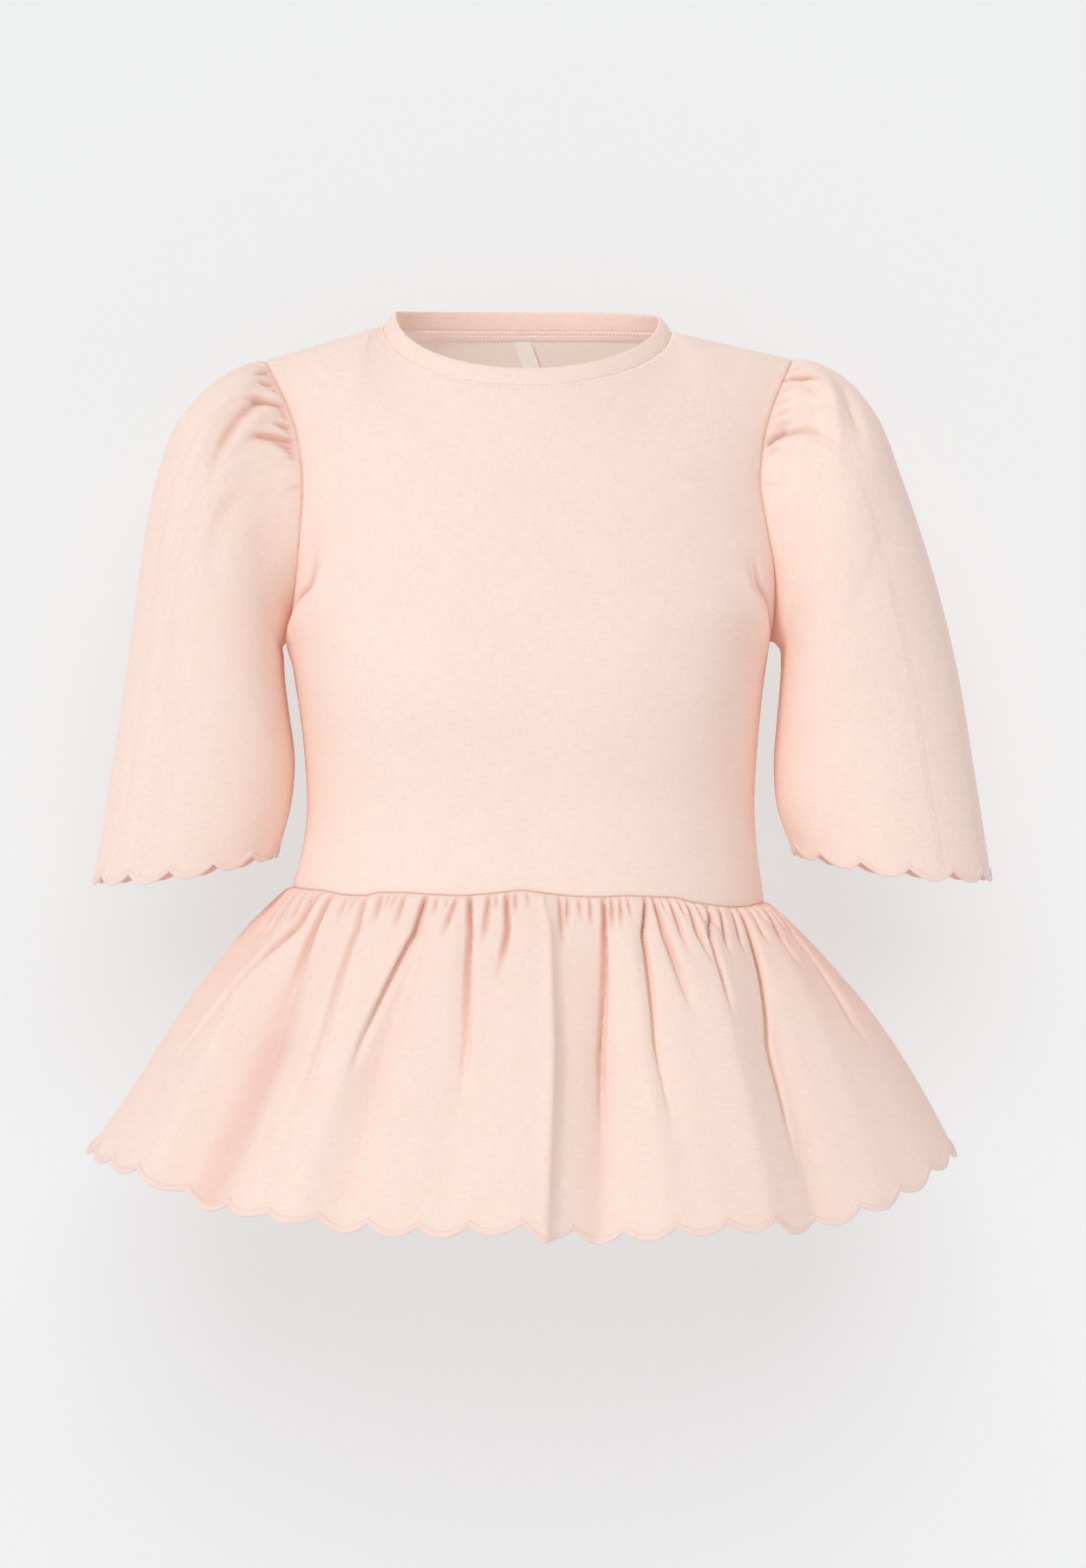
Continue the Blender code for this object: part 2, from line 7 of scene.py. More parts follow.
import bpy
import numpy as np
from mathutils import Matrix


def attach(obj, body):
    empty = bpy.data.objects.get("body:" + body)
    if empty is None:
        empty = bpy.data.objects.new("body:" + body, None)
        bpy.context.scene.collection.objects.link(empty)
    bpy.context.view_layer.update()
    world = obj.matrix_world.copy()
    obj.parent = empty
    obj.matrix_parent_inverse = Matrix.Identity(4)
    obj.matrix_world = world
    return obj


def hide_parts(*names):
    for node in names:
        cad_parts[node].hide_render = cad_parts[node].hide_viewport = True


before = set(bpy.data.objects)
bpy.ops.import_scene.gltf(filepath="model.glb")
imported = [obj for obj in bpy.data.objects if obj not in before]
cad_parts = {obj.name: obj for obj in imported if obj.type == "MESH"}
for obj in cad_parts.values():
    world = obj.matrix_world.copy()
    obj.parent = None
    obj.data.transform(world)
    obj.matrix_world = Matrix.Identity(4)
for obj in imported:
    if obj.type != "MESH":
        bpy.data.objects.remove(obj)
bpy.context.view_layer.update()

# Camera: level, at the height of the top's middle
CAMERA_PLACE = (0.00855, -3.5, -0.2984)
CAMERA_LENS = 122.5

camera_data = bpy.data.cameras.new("camera")
camera_data.lens = CAMERA_LENS
camera_data.sensor_width = 36.0
camera = bpy.data.objects.new("camera", camera_data)
camera.location = CAMERA_PLACE
camera.rotation_euler = (np.radians(90), 0.0, 0.0)
bpy.context.scene.collection.objects.link(camera)
bpy.context.scene.camera = camera
bpy.context.scene.view_settings.view_transform = "Standard"

MM = 0.001

# Sizes of the cloth and its sewing
JERSEY = 0.0009
WOVEN = 0.0006
BAND_CLOTH = 0.0024
TAPE_CLOTH = 0.0007
LABEL_CLOTH = 0.0004
SEAM_GAP = 0.0003
SHOULDER_SEAM_Y = 0.002
NECKBAND_HEIGHT = 0.0122
LABEL_WIDTH = 0.0115
LABEL_LENGTH = 0.034
LABEL_LEAN = 0.010
LABEL_X = -0.0055
LABEL_BOW = 0.002
PEPLUM_CUT_DEPTH = 0.217
PEPLUM_LEFT_SIDE_LIFT = 0.010
PEPLUM_RIGHT_SIDE_LIFT = 0.0035
WAIST_TILT = 0.0052
SCALLOP_DEPTH = 0.0070
SCALLOP_ROUNDNESS = 0.85
PEPLUM_SCALLOPS_A_HALF = 22
SLEEVE_SCALLOPS = 13
SLEEVE_HEM_DROOP = 0.005
SLEEVE_FLATNESS = 0.70
NECK_SHARE = 0.568
EDGING_WIDTH = 0.0046
EDGING_THICKNESS = 0.0022
PEPLUM_COLUMNS_A_SCALLOP = 28
SLEEVE_COLUMNS_A_SCALLOP = 36
HEM_FADE = 0.025
PEPLUM_CREASE_DEPTH = 2.0
SLEEVE_CREASE_DEPTH = 1.9
FOLD_SOFTNESS = 4.2
WAIST_WAVE_REACH = 0.030
KNOT_PLACE = (0.0704, 0.0080)
# Painted shade: its colour, the crease depth at which it is full, how far from the seam the fine creases get
# it, and its width along the seams
PAINTED_SHADE_COLOUR = (0.66, 0.40, 0.33)
DEEP_CREASE = 0.0050
FINE_REACH = 0.110
SEAM_SHADE_WIDTH = 0.0008
SEAM_DEPTH = 0.0013
SEAM_DRAW = 0.0006
NECK_SEWING = 0.0028
SEAM_ALLOWANCE = 0.0030
SEAM_HOLD = 0.0022
SEAM_REACH = 0.0016
WAIST_SEAM_REACH = 0.0014
NECK_SEWING_REACH = 0.0009
NECK_SEWING_DRAW = 0.35
STITCH_SPACING = 0.0026
STITCH_SIZE = (0.0014, 0.0011, 0.0011)
KNOT_STITCH_SIZE = (0.0042, 0.0007, 0.0008)
SLEEVE_PUFF = 0.0014
PEPLUM_PUFF = 0.0016
PEPLUM_TIP_LIFT = 0.005
WAIST_HALF_WIDTH = 0.1545
LAST_SLEEVE_RING = 0.0610
# Painted shade in the armpits: its half width across, its height, and how far below the underarm it lies
PIT_WIDTH = 0.010
PIT_HEIGHT = 0.022
PIT_DROP = 0.012
FOLD_SHADE = 0.8
FOLD_SHADE_DEPTHS = (0.003, 0.014)
THREAD_PITCH = 0.0006

# What each cloth looks like: its lighter and darker threads, its inside, a painted glow on its outside and on
# its inside that stands in for the light that comes through it, how far apart its ribs lie round it and along
# it, their strength, and its sheen
JERSEY_LOOK = dict(light=(0.855, 0.735, 0.665), dark=(0.82, 0.692, 0.618), inside=(0.86, 0.82, 0.75),
                   outer_glow=(0.12, 0.045, 0.03), glow=(0.11, 0.08, 0.08), ribs=(0.0009, 0.0012),
                   rib_strength=0.5, sheen=0.15)
TAPE_LOOK = dict(JERSEY_LOOK, inside=(0.88, 0.77, 0.71), glow=(0.17, 0.12, 0.11))
WOVEN_LOOK = dict(light=(0.85, 0.727, 0.654), dark=(0.815, 0.685, 0.608), inside=(0.86, 0.68, 0.60),
                  outer_glow=(0.12, 0.045, 0.03), glow=(0.15, 0.06, 0.045), ribs=(0.0008, 0.0008),
                  rib_strength=0.6, sheen=0.12)
LABEL_LOOK = dict(light=(0.80, 0.78, 0.74), dark=(0.74, 0.72, 0.68), inside=(0.80, 0.78, 0.73),
                  outer_glow=(0.10, 0.10, 0.10), glow=(0.17, 0.17, 0.155), ribs=(0.0004, 0.0005),
                  rib_strength=0.3, sheen=0.1)
# Threads: the colour of their ridges, and the darker painted shade in the grooves between them
SATIN_LOOK = dict(light=(1.0, 0.80, 0.73), dark=(0.95, 0.70, 0.63))
SEAM_THREAD_LOOK = dict(light=(1.0, 0.96, 0.92), dark=(1.0, 0.93, 0.88))

# Suns: the way each one shines, how wide it looks, in degrees, its strength, and which collection it lights
SUNS = dict(key=((0.44, 0.80, -0.50), 16, 1.47, "garment"),
            fill=((-0.55, 0.85, -0.20), 60, 0.35, "garment"),
            sheet_light=((0.0, 0.80, -0.50), 45, 1.50, "stage"))

# The hem of the peplum: the half widths and depths of the ring on which it hangs
HEM = dict(left=-0.2865, right=0.2765, front=0.163, back=0.150)

# High points of the shoulder seams at the neck, shoulder points at the sleeve, middle of the neck seam
NECK_POINT = dict(left=(-0.0955, 0.0026), right=(0.0922, -0.0014))
SHOULDER_POINT = dict(left=(-0.1733, -0.0206), right=(0.1716, -0.0198))
NECK_MIDDLE = dict(front=(-0.084, -0.0425), back=(0.057, 0.0040))


def table(names, *rows):
    """The columns of a small table, by name."""
    return dict(zip(names.split(), np.array(rows, dtype=float).T))


# Bodice below the underarm, from the waist seam up. full is how squarely the section is filled.
BODY = table(
    "height left right front back front_full back_full",
    (-0.37, -0.1555, 0.1535, -0.106, 0.089, 1.15, 1.12),
    (-0.345, -0.15, 0.1492, -0.1035, 0.087, 1.15, 1.12),
    (-0.318, -0.1462, 0.1472, -0.104, 0.087, 1.18, 1.12),
    (-0.285, -0.1472, 0.1482, -0.111, 0.091, 1.24, 1.14),
    (-0.25, -0.151, 0.1512, -0.1205, 0.097, 1.32, 1.18),
    (-0.222, -0.1555, 0.1545, -0.124, 0.102, 1.32, 1.2),
    (-0.206, -0.158, 0.157, -0.1225, 0.1045, 1.28, 1.2))

# Bodice between the armholes, from the underarm up: the armhole's edge at each side, and the panel's middle.
# turn is how far the section wraps round, in degrees.
FRONT_CHEST = table(
    "edge_height left right edge_y middle_height middle_y turn full",
    (-0.196, -0.157, 0.1585, -0.021, -0.197, -0.121, 88, 1.24),
    (-0.18, -0.154, 0.1595, -0.035, -0.183, -0.119, 82, 1.18),
    (-0.158, -0.151, 0.1585, -0.0465, -0.163, -0.115, 74, 1.12),
    (-0.132, -0.1485, 0.1535, -0.054, -0.14, -0.1105, 67, 1.08),
    (-0.104, -0.1468, 0.149, -0.056, -0.116, -0.106, 62, 1.05),
    (-0.076, -0.15, 0.1515, -0.0505, -0.092, -0.1005, 58, 1.03))
BACK_CHEST = table(
    "edge_height left right edge_y middle_height middle_y turn full",
    (-0.196, -0.157, 0.158, 0.02, -0.196, 0.106, 88, 1.18),
    (-0.18, -0.1562, 0.1577, 0.033, -0.179, 0.108, 82, 1.15),
    (-0.158, -0.156, 0.1575, 0.043, -0.155, 0.1085, 74, 1.12),
    (-0.132, -0.1565, 0.1575, 0.049, -0.128, 0.108, 67, 1.1),
    (-0.104, -0.158, 0.1585, 0.051, -0.098, 0.105, 62, 1.08),
    (-0.076, -0.161, 0.161, 0.047, -0.064, 0.097, 58, 1.06))

# Sleeves, from the armhole out: the outermost and the underarm point of each ring as seen from the front,
# and how far it reaches to the front and back.
SLEEVE_RIGHT = table(
    "outer_x outer_height under_x under_height front back",
    (-0.189, -0.0255, -0.1605, -0.206, -0.068, 0.063),
    (-0.209, -0.0375, -0.1625, -0.2085, -0.075, 0.07),
    (-0.2285, -0.0605, -0.162, -0.215, -0.0795, 0.074),
    (-0.244, -0.099, -0.1612, -0.229, -0.081, 0.076),
    (-0.2545, -0.156, -0.1585, -0.251, -0.079, 0.076),
    (-0.2632, -0.22, -0.1546, -0.282, -0.075, 0.073),
    (-0.2742, -0.294, -0.157, -0.312, -0.072, 0.07),
    (-0.2845, -0.357, -0.1645, -0.34, -0.07, 0.068))
SLEEVE_LEFT = table(
    "outer_x outer_height under_x under_height front back",
    (0.186, -0.023, 0.1614, -0.2065, -0.067, 0.062),
    (0.2055, -0.033, 0.1642, -0.21, -0.0745, 0.069),
    (0.225, -0.055, 0.165, -0.2185, -0.08, 0.074),
    (0.242, -0.096, 0.1642, -0.2365, -0.082, 0.077),
    (0.2608, -0.151, 0.1622, -0.258, -0.08, 0.077),
    (0.2785, -0.219, 0.1602, -0.286, -0.076, 0.074),
    (0.2912, -0.293, 0.1625, -0.314, -0.073, 0.071),
    (0.301, -0.355, 0.1712, -0.339, -0.07, 0.068))

# Large folds of the peplum, as the crests and valleys that run down it from the wearer's right to the left:
# where each one runs, as a share of the half width there (-1 is the wearer's right side), at the waist, a short
# way down, half way down and at the hem, and how far it stands out, in millimetres, at the last three.
FOLD_PLACES_DOWN = (0.0, 0.15, 0.5, 1.0)
FRONT_FOLDS = table(
    "waist upper middle hem upper_rise middle_rise hem_rise",
    (-1, -1, -1, -1, 0, 0, 0),
    (-0.96, -0.94, -0.94, -0.94, 1, 2, 3),
    (-0.9, -0.87, -0.83, -0.825, 3, 12.5, 12),
    (-0.823, -0.78, -0.725, -0.73, -4.5, -15, -12),
    (-0.7, -0.63, -0.6, -0.61, 3, 5, 3),
    (-0.6, -0.54, -0.53, -0.545, 0.5, 5.5, 5),
    (-0.445, -0.424, -0.478, -0.5, 4.5, 8.5, 6),
    (-0.415, -0.385, -0.4, -0.4, -4.5, -8, -4),
    (-0.35, -0.34, -0.35, -0.34, 1, 1.5, 2.5),
    (-0.29, -0.25, -0.2, -0.25, 2, 2, 4),
    (-0.258, -0.215, -0.17, -0.165, -2, -1.5, 5),
    (-0.23, -0.19, -0.14, -0.1, 1.5, 3, 6.5),
    (-0.06, -0.04, -0.02, -0.03, 3, 7, 10),
    (0.08, 0.084, 0.08, 0.055, 5.5, 12, 14),
    (0.096, 0.1, 0.098, 0.074, -1, 1, 4),
    (0.31, 0.268, 0.219, 0.176, -5, -10, -7),
    (0.335, 0.296, 0.25, 0.21, -1, -4, -3),
    (0.4, 0.36, 0.33, 0.33, 3, 3.5, 5),
    (0.478, 0.405, 0.372, 0.385, -2, 0, 5.5),
    (0.52, 0.44, 0.405, 0.43, 1.5, 3.5, 6.5),
    (0.705, 0.61, 0.565, 0.555, 4.5, 7.5, 7),
    (0.852, 0.8, 0.7, 0.665, -3.5, -7, -5.5),
    (0.88, 0.83, 0.735, 0.705, -1, -3, -3),
    (0.93, 0.885, 0.83, 0.8, 2, 3, 3),
    (0.965, 0.93, 0.925, 0.93, 0, 2.5, 2.5),
    (1, 1, 1, 1, 0, 0, 0))
BACK_FOLDS = table(
    "waist upper middle hem upper_rise middle_rise hem_rise",
    (-1, -1, -1, -1, 0, 0, 0),
    (-0.9, -0.88, -0.84, -0.8, -2, -5, -3),
    (-0.74, -0.73, -0.7, -0.66, 4, 9, 8),
    (-0.64, -0.615, -0.59, -0.57, -4, -9, -9),
    (-0.56, -0.54, -0.52, -0.5, 1, -1, 0),
    (-0.4, -0.39, -0.37, -0.33, 4, 10, 10),
    (-0.37, -0.36, -0.34, -0.3, 1, 4, 5),
    (-0.24, -0.24, -0.22, -0.19, -5, -10, -10),
    (-0.14, -0.13, -0.12, -0.1, 2, 3, 4),
    (-0.05, -0.05, -0.04, -0.05, 3, 7, 8),
    (0.1, 0.09, 0.08, 0.06, -4, -9, -9),
    (0.13, 0.12, 0.115, 0.1, -1, -3, -3),
    (0.28, 0.27, 0.26, 0.22, 4, 10, 10),
    (0.4, 0.385, 0.37, 0.35, -4, -7, -4),
    (0.5, 0.48, 0.46, 0.43, 1, 3, 5),
    (0.6, 0.58, 0.55, 0.5, 4, 8, 8),
    (0.72, 0.7, 0.68, 0.65, -5, -10, -9),
    (0.78, 0.76, 0.74, 0.72, 0, -2, -2),
    (0.9, 0.88, 0.85, 0.82, 3, 7, 6),
    (1, 1, 1, 1, 0, 0, 0))

# Where the hem hangs lower at a fold: place across, drop in millimetres, half width across
FRONT_HEM_DROPS = table("place drop wide", (-0.555, 3.5, 0.03), (0.045, 4.5, 0.022), (0.6, 2.5, 0.04))
BACK_HEM_DROPS = table("place drop wide", (-0.34, 3, 0.03), (0.215, 3.5, 0.03))

# How far the waist seam rises (+) or drops (-), in millimetres, at shares of the half width
FRONT_WAIST_WAVE = table(
    "place rise",
    (-1, 0), (-0.86, 0), (-0.77, -2), (-0.68, -1.9), (-0.62, 0.5), (-0.51, 1), (-0.38, 0.2),
    (-0.27, 0), (-0.155, 1.7), (-0.04, 4.3), (0, 4.2), (0.08, 2.5), (0.2, 1), (0.31, 1.1),
    (0.41, 2.2), (0.54, 1.7), (0.61, 1.6), (0.69, -1.4), (0.79, -3.3), (0.86, -4), (0.93, -3.2), (1, 0))
BACK_WAIST_WAVE = table(
    "place rise",
    (-1, 0), (-0.85, -1.6), (-0.7, 0.8), (-0.52, 1.4), (-0.36, -0.8), (-0.2, 0.6), (-0.04, 2.2),
    (0.12, 1.2), (0.28, -1), (0.44, 0.4), (0.6, 1.5), (0.76, -1.2), (0.9, -1.8), (1, 0))

# Creases of the peplum's front. Places are shares of the way round from the middle (-1 is the wearer's right
# side seam), at the waist, a short way down, half way down and at the hem. rise is in millimetres, left and
# right are its half widths in millimetres at the top, and spread is how many times wider it is at its end.
CREASE_PLACES_DOWN = (0.0, 0.12, 0.45, 1.0)
FRONT_CREASES = table(
    "waist upper middle hem rise left right spread end",
    (-0.96, -0.9, -0.87, -0.85, -1.6, 1.5, 1.7, 2, 0.2),
    (-0.925, -0.86, -0.83, -0.82, -1.4, 1.3, 1.3, 1.4, 0.1),
    (-0.88, -0.815, -0.78, -0.76, -1.9, 1.5, 1.5, 2.2, 0.22),
    (-0.827, -0.77, -0.75, -0.74, -2.4, 1.5, 1.8, 2, 0.2),
    (-0.768, -0.7, -0.68, -0.66, -1.9, 1.3, 1.3, 1.5, 0.13),
    (-0.727, -0.67, -0.65, -0.64, -1.6, 1.2, 1.2, 1.4, 0.09),
    (-0.7, -0.68, -0.76, -0.9, -2.4, 1.4, 2.2, 2, 0.7),
    (-0.645, -0.628, -0.578, -0.56, -2.8, 1.6, 2, 2, 0.4),
    (-0.582, -0.545, -0.53, -0.52, -1.6, 1.2, 1.2, 1.4, 0.08),
    (-0.545, -0.52, -0.51, -0.5, -1.3, 1.1, 1.1, 1.3, 0.06),
    (-0.51, -0.47, -0.443, -0.47, -2, 1.4, 1.5, 3, 0.9),
    (-0.455, -0.424, -0.41, -0.4, -1.8, 1.2, 1.3, 1.6, 0.11),
    (-0.427, -0.415, -0.405, -0.4, -1.2, 1.1, 1.1, 1.2, 0.06),
    (-0.402, -0.397, -0.395, -0.395, -1.3, 1.1, 1.1, 1.2, 0.06),
    (-0.377, -0.362, -0.355, -0.35, -1.8, 1.2, 1.3, 1.6, 0.13),
    (-0.312, -0.304, -0.352, -0.4, -3, 1.4, 1.8, 1.6, 0.62),
    (-0.275, -0.266, -0.262, -0.26, -1.5, 1.1, 1.2, 1.3, 0.07),
    (-0.24, -0.236, -0.235, -0.235, -1, 1.1, 1.1, 1.2, 0.05),
    (-0.214, -0.226, -0.26, -0.27, -2, 1.2, 1.3, 1.6, 0.14),
    (-0.178, -0.156, -0.128, -0.126, -3.4, 1.3, 1.6, 1.5, 0.66),
    (-0.118, -0.113, -0.11, -0.11, -2.2, 1.2, 1.3, 1.8, 0.17),
    (-0.092, -0.09, -0.09, -0.09, -1.2, 1.1, 1.1, 1.2, 0.06),
    (-0.066, -0.052, -0.085, -0.1, -3, 1.3, 1.5, 1.8, 0.29),
    (-0.036, -0.028, -0.024, -0.02, -1.6, 1.2, 1.2, 1.4, 0.08),
    (0, 0.008, 0.01, 0.01, -1.2, 1.1, 1.1, 1.2, 0.06),
    (0.04, 0.058, 0.06, 0.042, 0.8, 3, 1.5, 1.6, 1.3),
    (0.095, 0.1, 0.105, 0.1, -2, 1.3, 1.3, 2, 0.16),
    (0.122, 0.11, 0.105, 0.1, -1.8, 1.2, 1.3, 1.6, 0.11),
    (0.158, 0.15, 0.146, 0.14, -1.5, 1.1, 1.2, 1.4, 0.07),
    (0.19, 0.178, 0.172, 0.17, -1.7, 1.2, 1.2, 1.4, 0.09),
    (0.233, 0.213, 0.172, 0.141, -3, 1.8, 1.3, 1.4, 0.8),
    (0.256, 0.232, 0.215, 0.21, -1.9, 1.2, 1.3, 1.5, 0.12),
    (0.283, 0.256, 0.24, 0.23, -1.7, 1.2, 1.2, 1.4, 0.11),
    (0.306, 0.286, 0.27, 0.26, -1.4, 1.1, 1.1, 1.3, 0.08),
    (0.362, 0.316, 0.288, 0.3, -2.6, 1.3, 1.6, 1.5, 0.74),
    (0.386, 0.374, 0.39, 0.41, -2.6, 1.3, 1.8, 2.6, 0.4),
    (0.41, 0.4, 0.4, 0.4, -1.2, 1.1, 1.1, 1.2, 0.06),
    (0.436, 0.424, 0.424, 0.424, -2.1, 1.2, 1.4, 1.8, 0.19),
    (0.466, 0.45, 0.44, 0.44, -1.3, 1.1, 1.1, 1.2, 0.07),
    (0.496, 0.47, 0.5, 0.51, -2.4, 1.3, 1.6, 1.8, 0.23),
    (0.526, 0.514, 0.51, 0.51, -1.7, 1.2, 1.2, 1.4, 0.1),
    (0.562, 0.552, 0.545, 0.54, -1.7, 1.2, 1.2, 1.4, 0.1),
    (0.58, 0.505, 0.47, 0.467, -2.6, 1.3, 2, 1.6, 0.4),
    (0.622, 0.56, 0.52, 0.5, -2.2, 1.2, 1.3, 1.5, 0.18),
    (0.715, 0.672, 0.566, 0.526, -3.4, 2, 1.4, 1.5, 0.86),
    (0.672, 0.62, 0.57, 0.56, -2.2, 1.3, 1.4, 1.4, 0.16),
    (0.762, 0.716, 0.69, 0.68, -1.9, 1.2, 1.4, 1.4, 0.14),
    (0.8, 0.775, 0.76, 0.75, -1.6, 1.2, 1.2, 1.4, 0.08),
    (0.87, 0.78, 0.75, 0.74, -2.6, 1.4, 1.6, 1.8, 0.24),
    (0.895, 0.84, 0.81, 0.8, -1.6, 1.2, 1.2, 1.4, 0.12),
    (0.96, 0.87, 0.815, 0.84, -2, 1.5, 2.2, 2.5, 0.6))

# Creases of the peplum's back, of the same kinds
BACK_CREASES = table(
    "waist upper middle hem rise left right spread end",
    (-0.955, -0.9, -0.88, -0.86, -1.8, 1.4, 1.6, 2.2, 0.26),
    (-0.905, -0.86, -0.84, -0.83, -1.5, 1.2, 1.2, 1.4, 0.1),
    (-0.86, -0.81, -0.79, -0.78, -2.4, 1.4, 1.6, 2.4, 0.34),
    (-0.815, -0.775, -0.76, -0.75, -1.4, 1.1, 1.2, 1.3, 0.08),
    (-0.768, -0.735, -0.72, -0.71, -1.8, 1.2, 1.3, 1.5, 0.14),
    (-0.722, -0.69, -0.66, -0.64, -3.8, 1.5, 2.2, 3.2, 0.66),
    (-0.684, -0.665, -0.655, -0.65, -1.5, 1.2, 1.2, 1.3, 0.09),
    (-0.64, -0.61, -0.6, -0.59, -1.9, 1.2, 1.3, 1.6, 0.16),
    (-0.6, -0.58, -0.57, -0.57, -1.3, 1.1, 1.1, 1.2, 0.06),
    (-0.552, -0.52, -0.5, -0.48, -3.2, 1.4, 2, 2.8, 0.56),
    (-0.515, -0.5, -0.49, -0.49, -1.5, 1.1, 1.2, 1.3, 0.09),
    (-0.47, -0.455, -0.45, -0.45, -2, 1.2, 1.3, 1.6, 0.18),
    (-0.43, -0.42, -0.415, -0.41, -1.3, 1.1, 1.1, 1.2, 0.07),
    (-0.39, -0.376, -0.37, -0.37, -1.8, 1.2, 1.3, 1.5, 0.12),
    (-0.34, -0.318, -0.3, -0.29, -3, 1.4, 1.9, 2.4, 0.5),
    (-0.3, -0.29, -0.285, -0.28, -1.5, 1.1, 1.2, 1.3, 0.08),
    (-0.255, -0.24, -0.205, -0.18, -4.8, 1.6, 2.8, 3.2, 0.8),
    (-0.21, -0.196, -0.19, -0.185, -1.6, 1.2, 1.2, 1.4, 0.1),
    (-0.168, -0.16, -0.155, -0.15, -2.1, 1.2, 1.4, 1.8, 0.2),
    (-0.126, -0.12, -0.118, -0.115, -1.3, 1.1, 1.1, 1.2, 0.07),
    (-0.086, -0.08, -0.075, -0.07, -1.9, 1.2, 1.3, 1.6, 0.15),
    (-0.04, -0.03, -0.01, 0, -3.4, 1.4, 1.8, 2.4, 0.6),
    (0.005, 0.01, 0.012, 0.014, -1.5, 1.1, 1.2, 1.3, 0.08),
    (0.05, 0.052, 0.054, 0.056, -2, 1.2, 1.3, 1.6, 0.17),
    (0.092, 0.086, 0.08, 0.074, -4.4, 2.6, 1.5, 3, 0.74),
    (0.132, 0.128, 0.126, 0.124, -1.4, 1.1, 1.2, 1.3, 0.09),
    (0.172, 0.166, 0.16, 0.156, -2.2, 1.2, 1.4, 1.8, 0.21),
    (0.214, 0.206, 0.2, 0.198, -1.5, 1.1, 1.2, 1.3, 0.08),
    (0.26, 0.248, 0.238, 0.23, -2.8, 1.4, 1.7, 2.2, 0.44),
    (0.3, 0.29, 0.286, 0.284, -1.4, 1.1, 1.1, 1.2, 0.07),
    (0.344, 0.326, 0.31, 0.3, -3.6, 1.8, 1.5, 2.6, 0.62),
    (0.384, 0.37, 0.364, 0.36, -1.6, 1.2, 1.2, 1.4, 0.11),
    (0.428, 0.41, 0.4, 0.396, -2, 1.2, 1.3, 1.6, 0.17),
    (0.468, 0.452, 0.446, 0.44, -1.4, 1.1, 1.2, 1.3, 0.08),
    (0.512, 0.486, 0.47, 0.46, -2.9, 1.4, 1.7, 2.2, 0.46),
    (0.552, 0.532, 0.522, 0.516, -1.6, 1.2, 1.2, 1.4, 0.1),
    (0.6, 0.575, 0.56, 0.55, -2.1, 1.2, 1.4, 1.8, 0.19),
    (0.646, 0.612, 0.57, 0.54, -4.2, 2.4, 1.5, 3, 0.78),
    (0.69, 0.664, 0.65, 0.64, -1.6, 1.2, 1.2, 1.4, 0.1),
    (0.738, 0.706, 0.69, 0.68, -2.4, 1.3, 1.5, 2, 0.28),
    (0.786, 0.755, 0.74, 0.73, -1.5, 1.1, 1.2, 1.3, 0.09),
    (0.836, 0.8, 0.78, 0.77, -2, 1.2, 1.4, 1.8, 0.2),
    (0.884, 0.845, 0.825, 0.815, -1.5, 1.2, 1.2, 1.4, 0.11),
    (0.945, 0.895, 0.87, 0.86, -2.1, 1.4, 1.6, 2.4, 0.32))

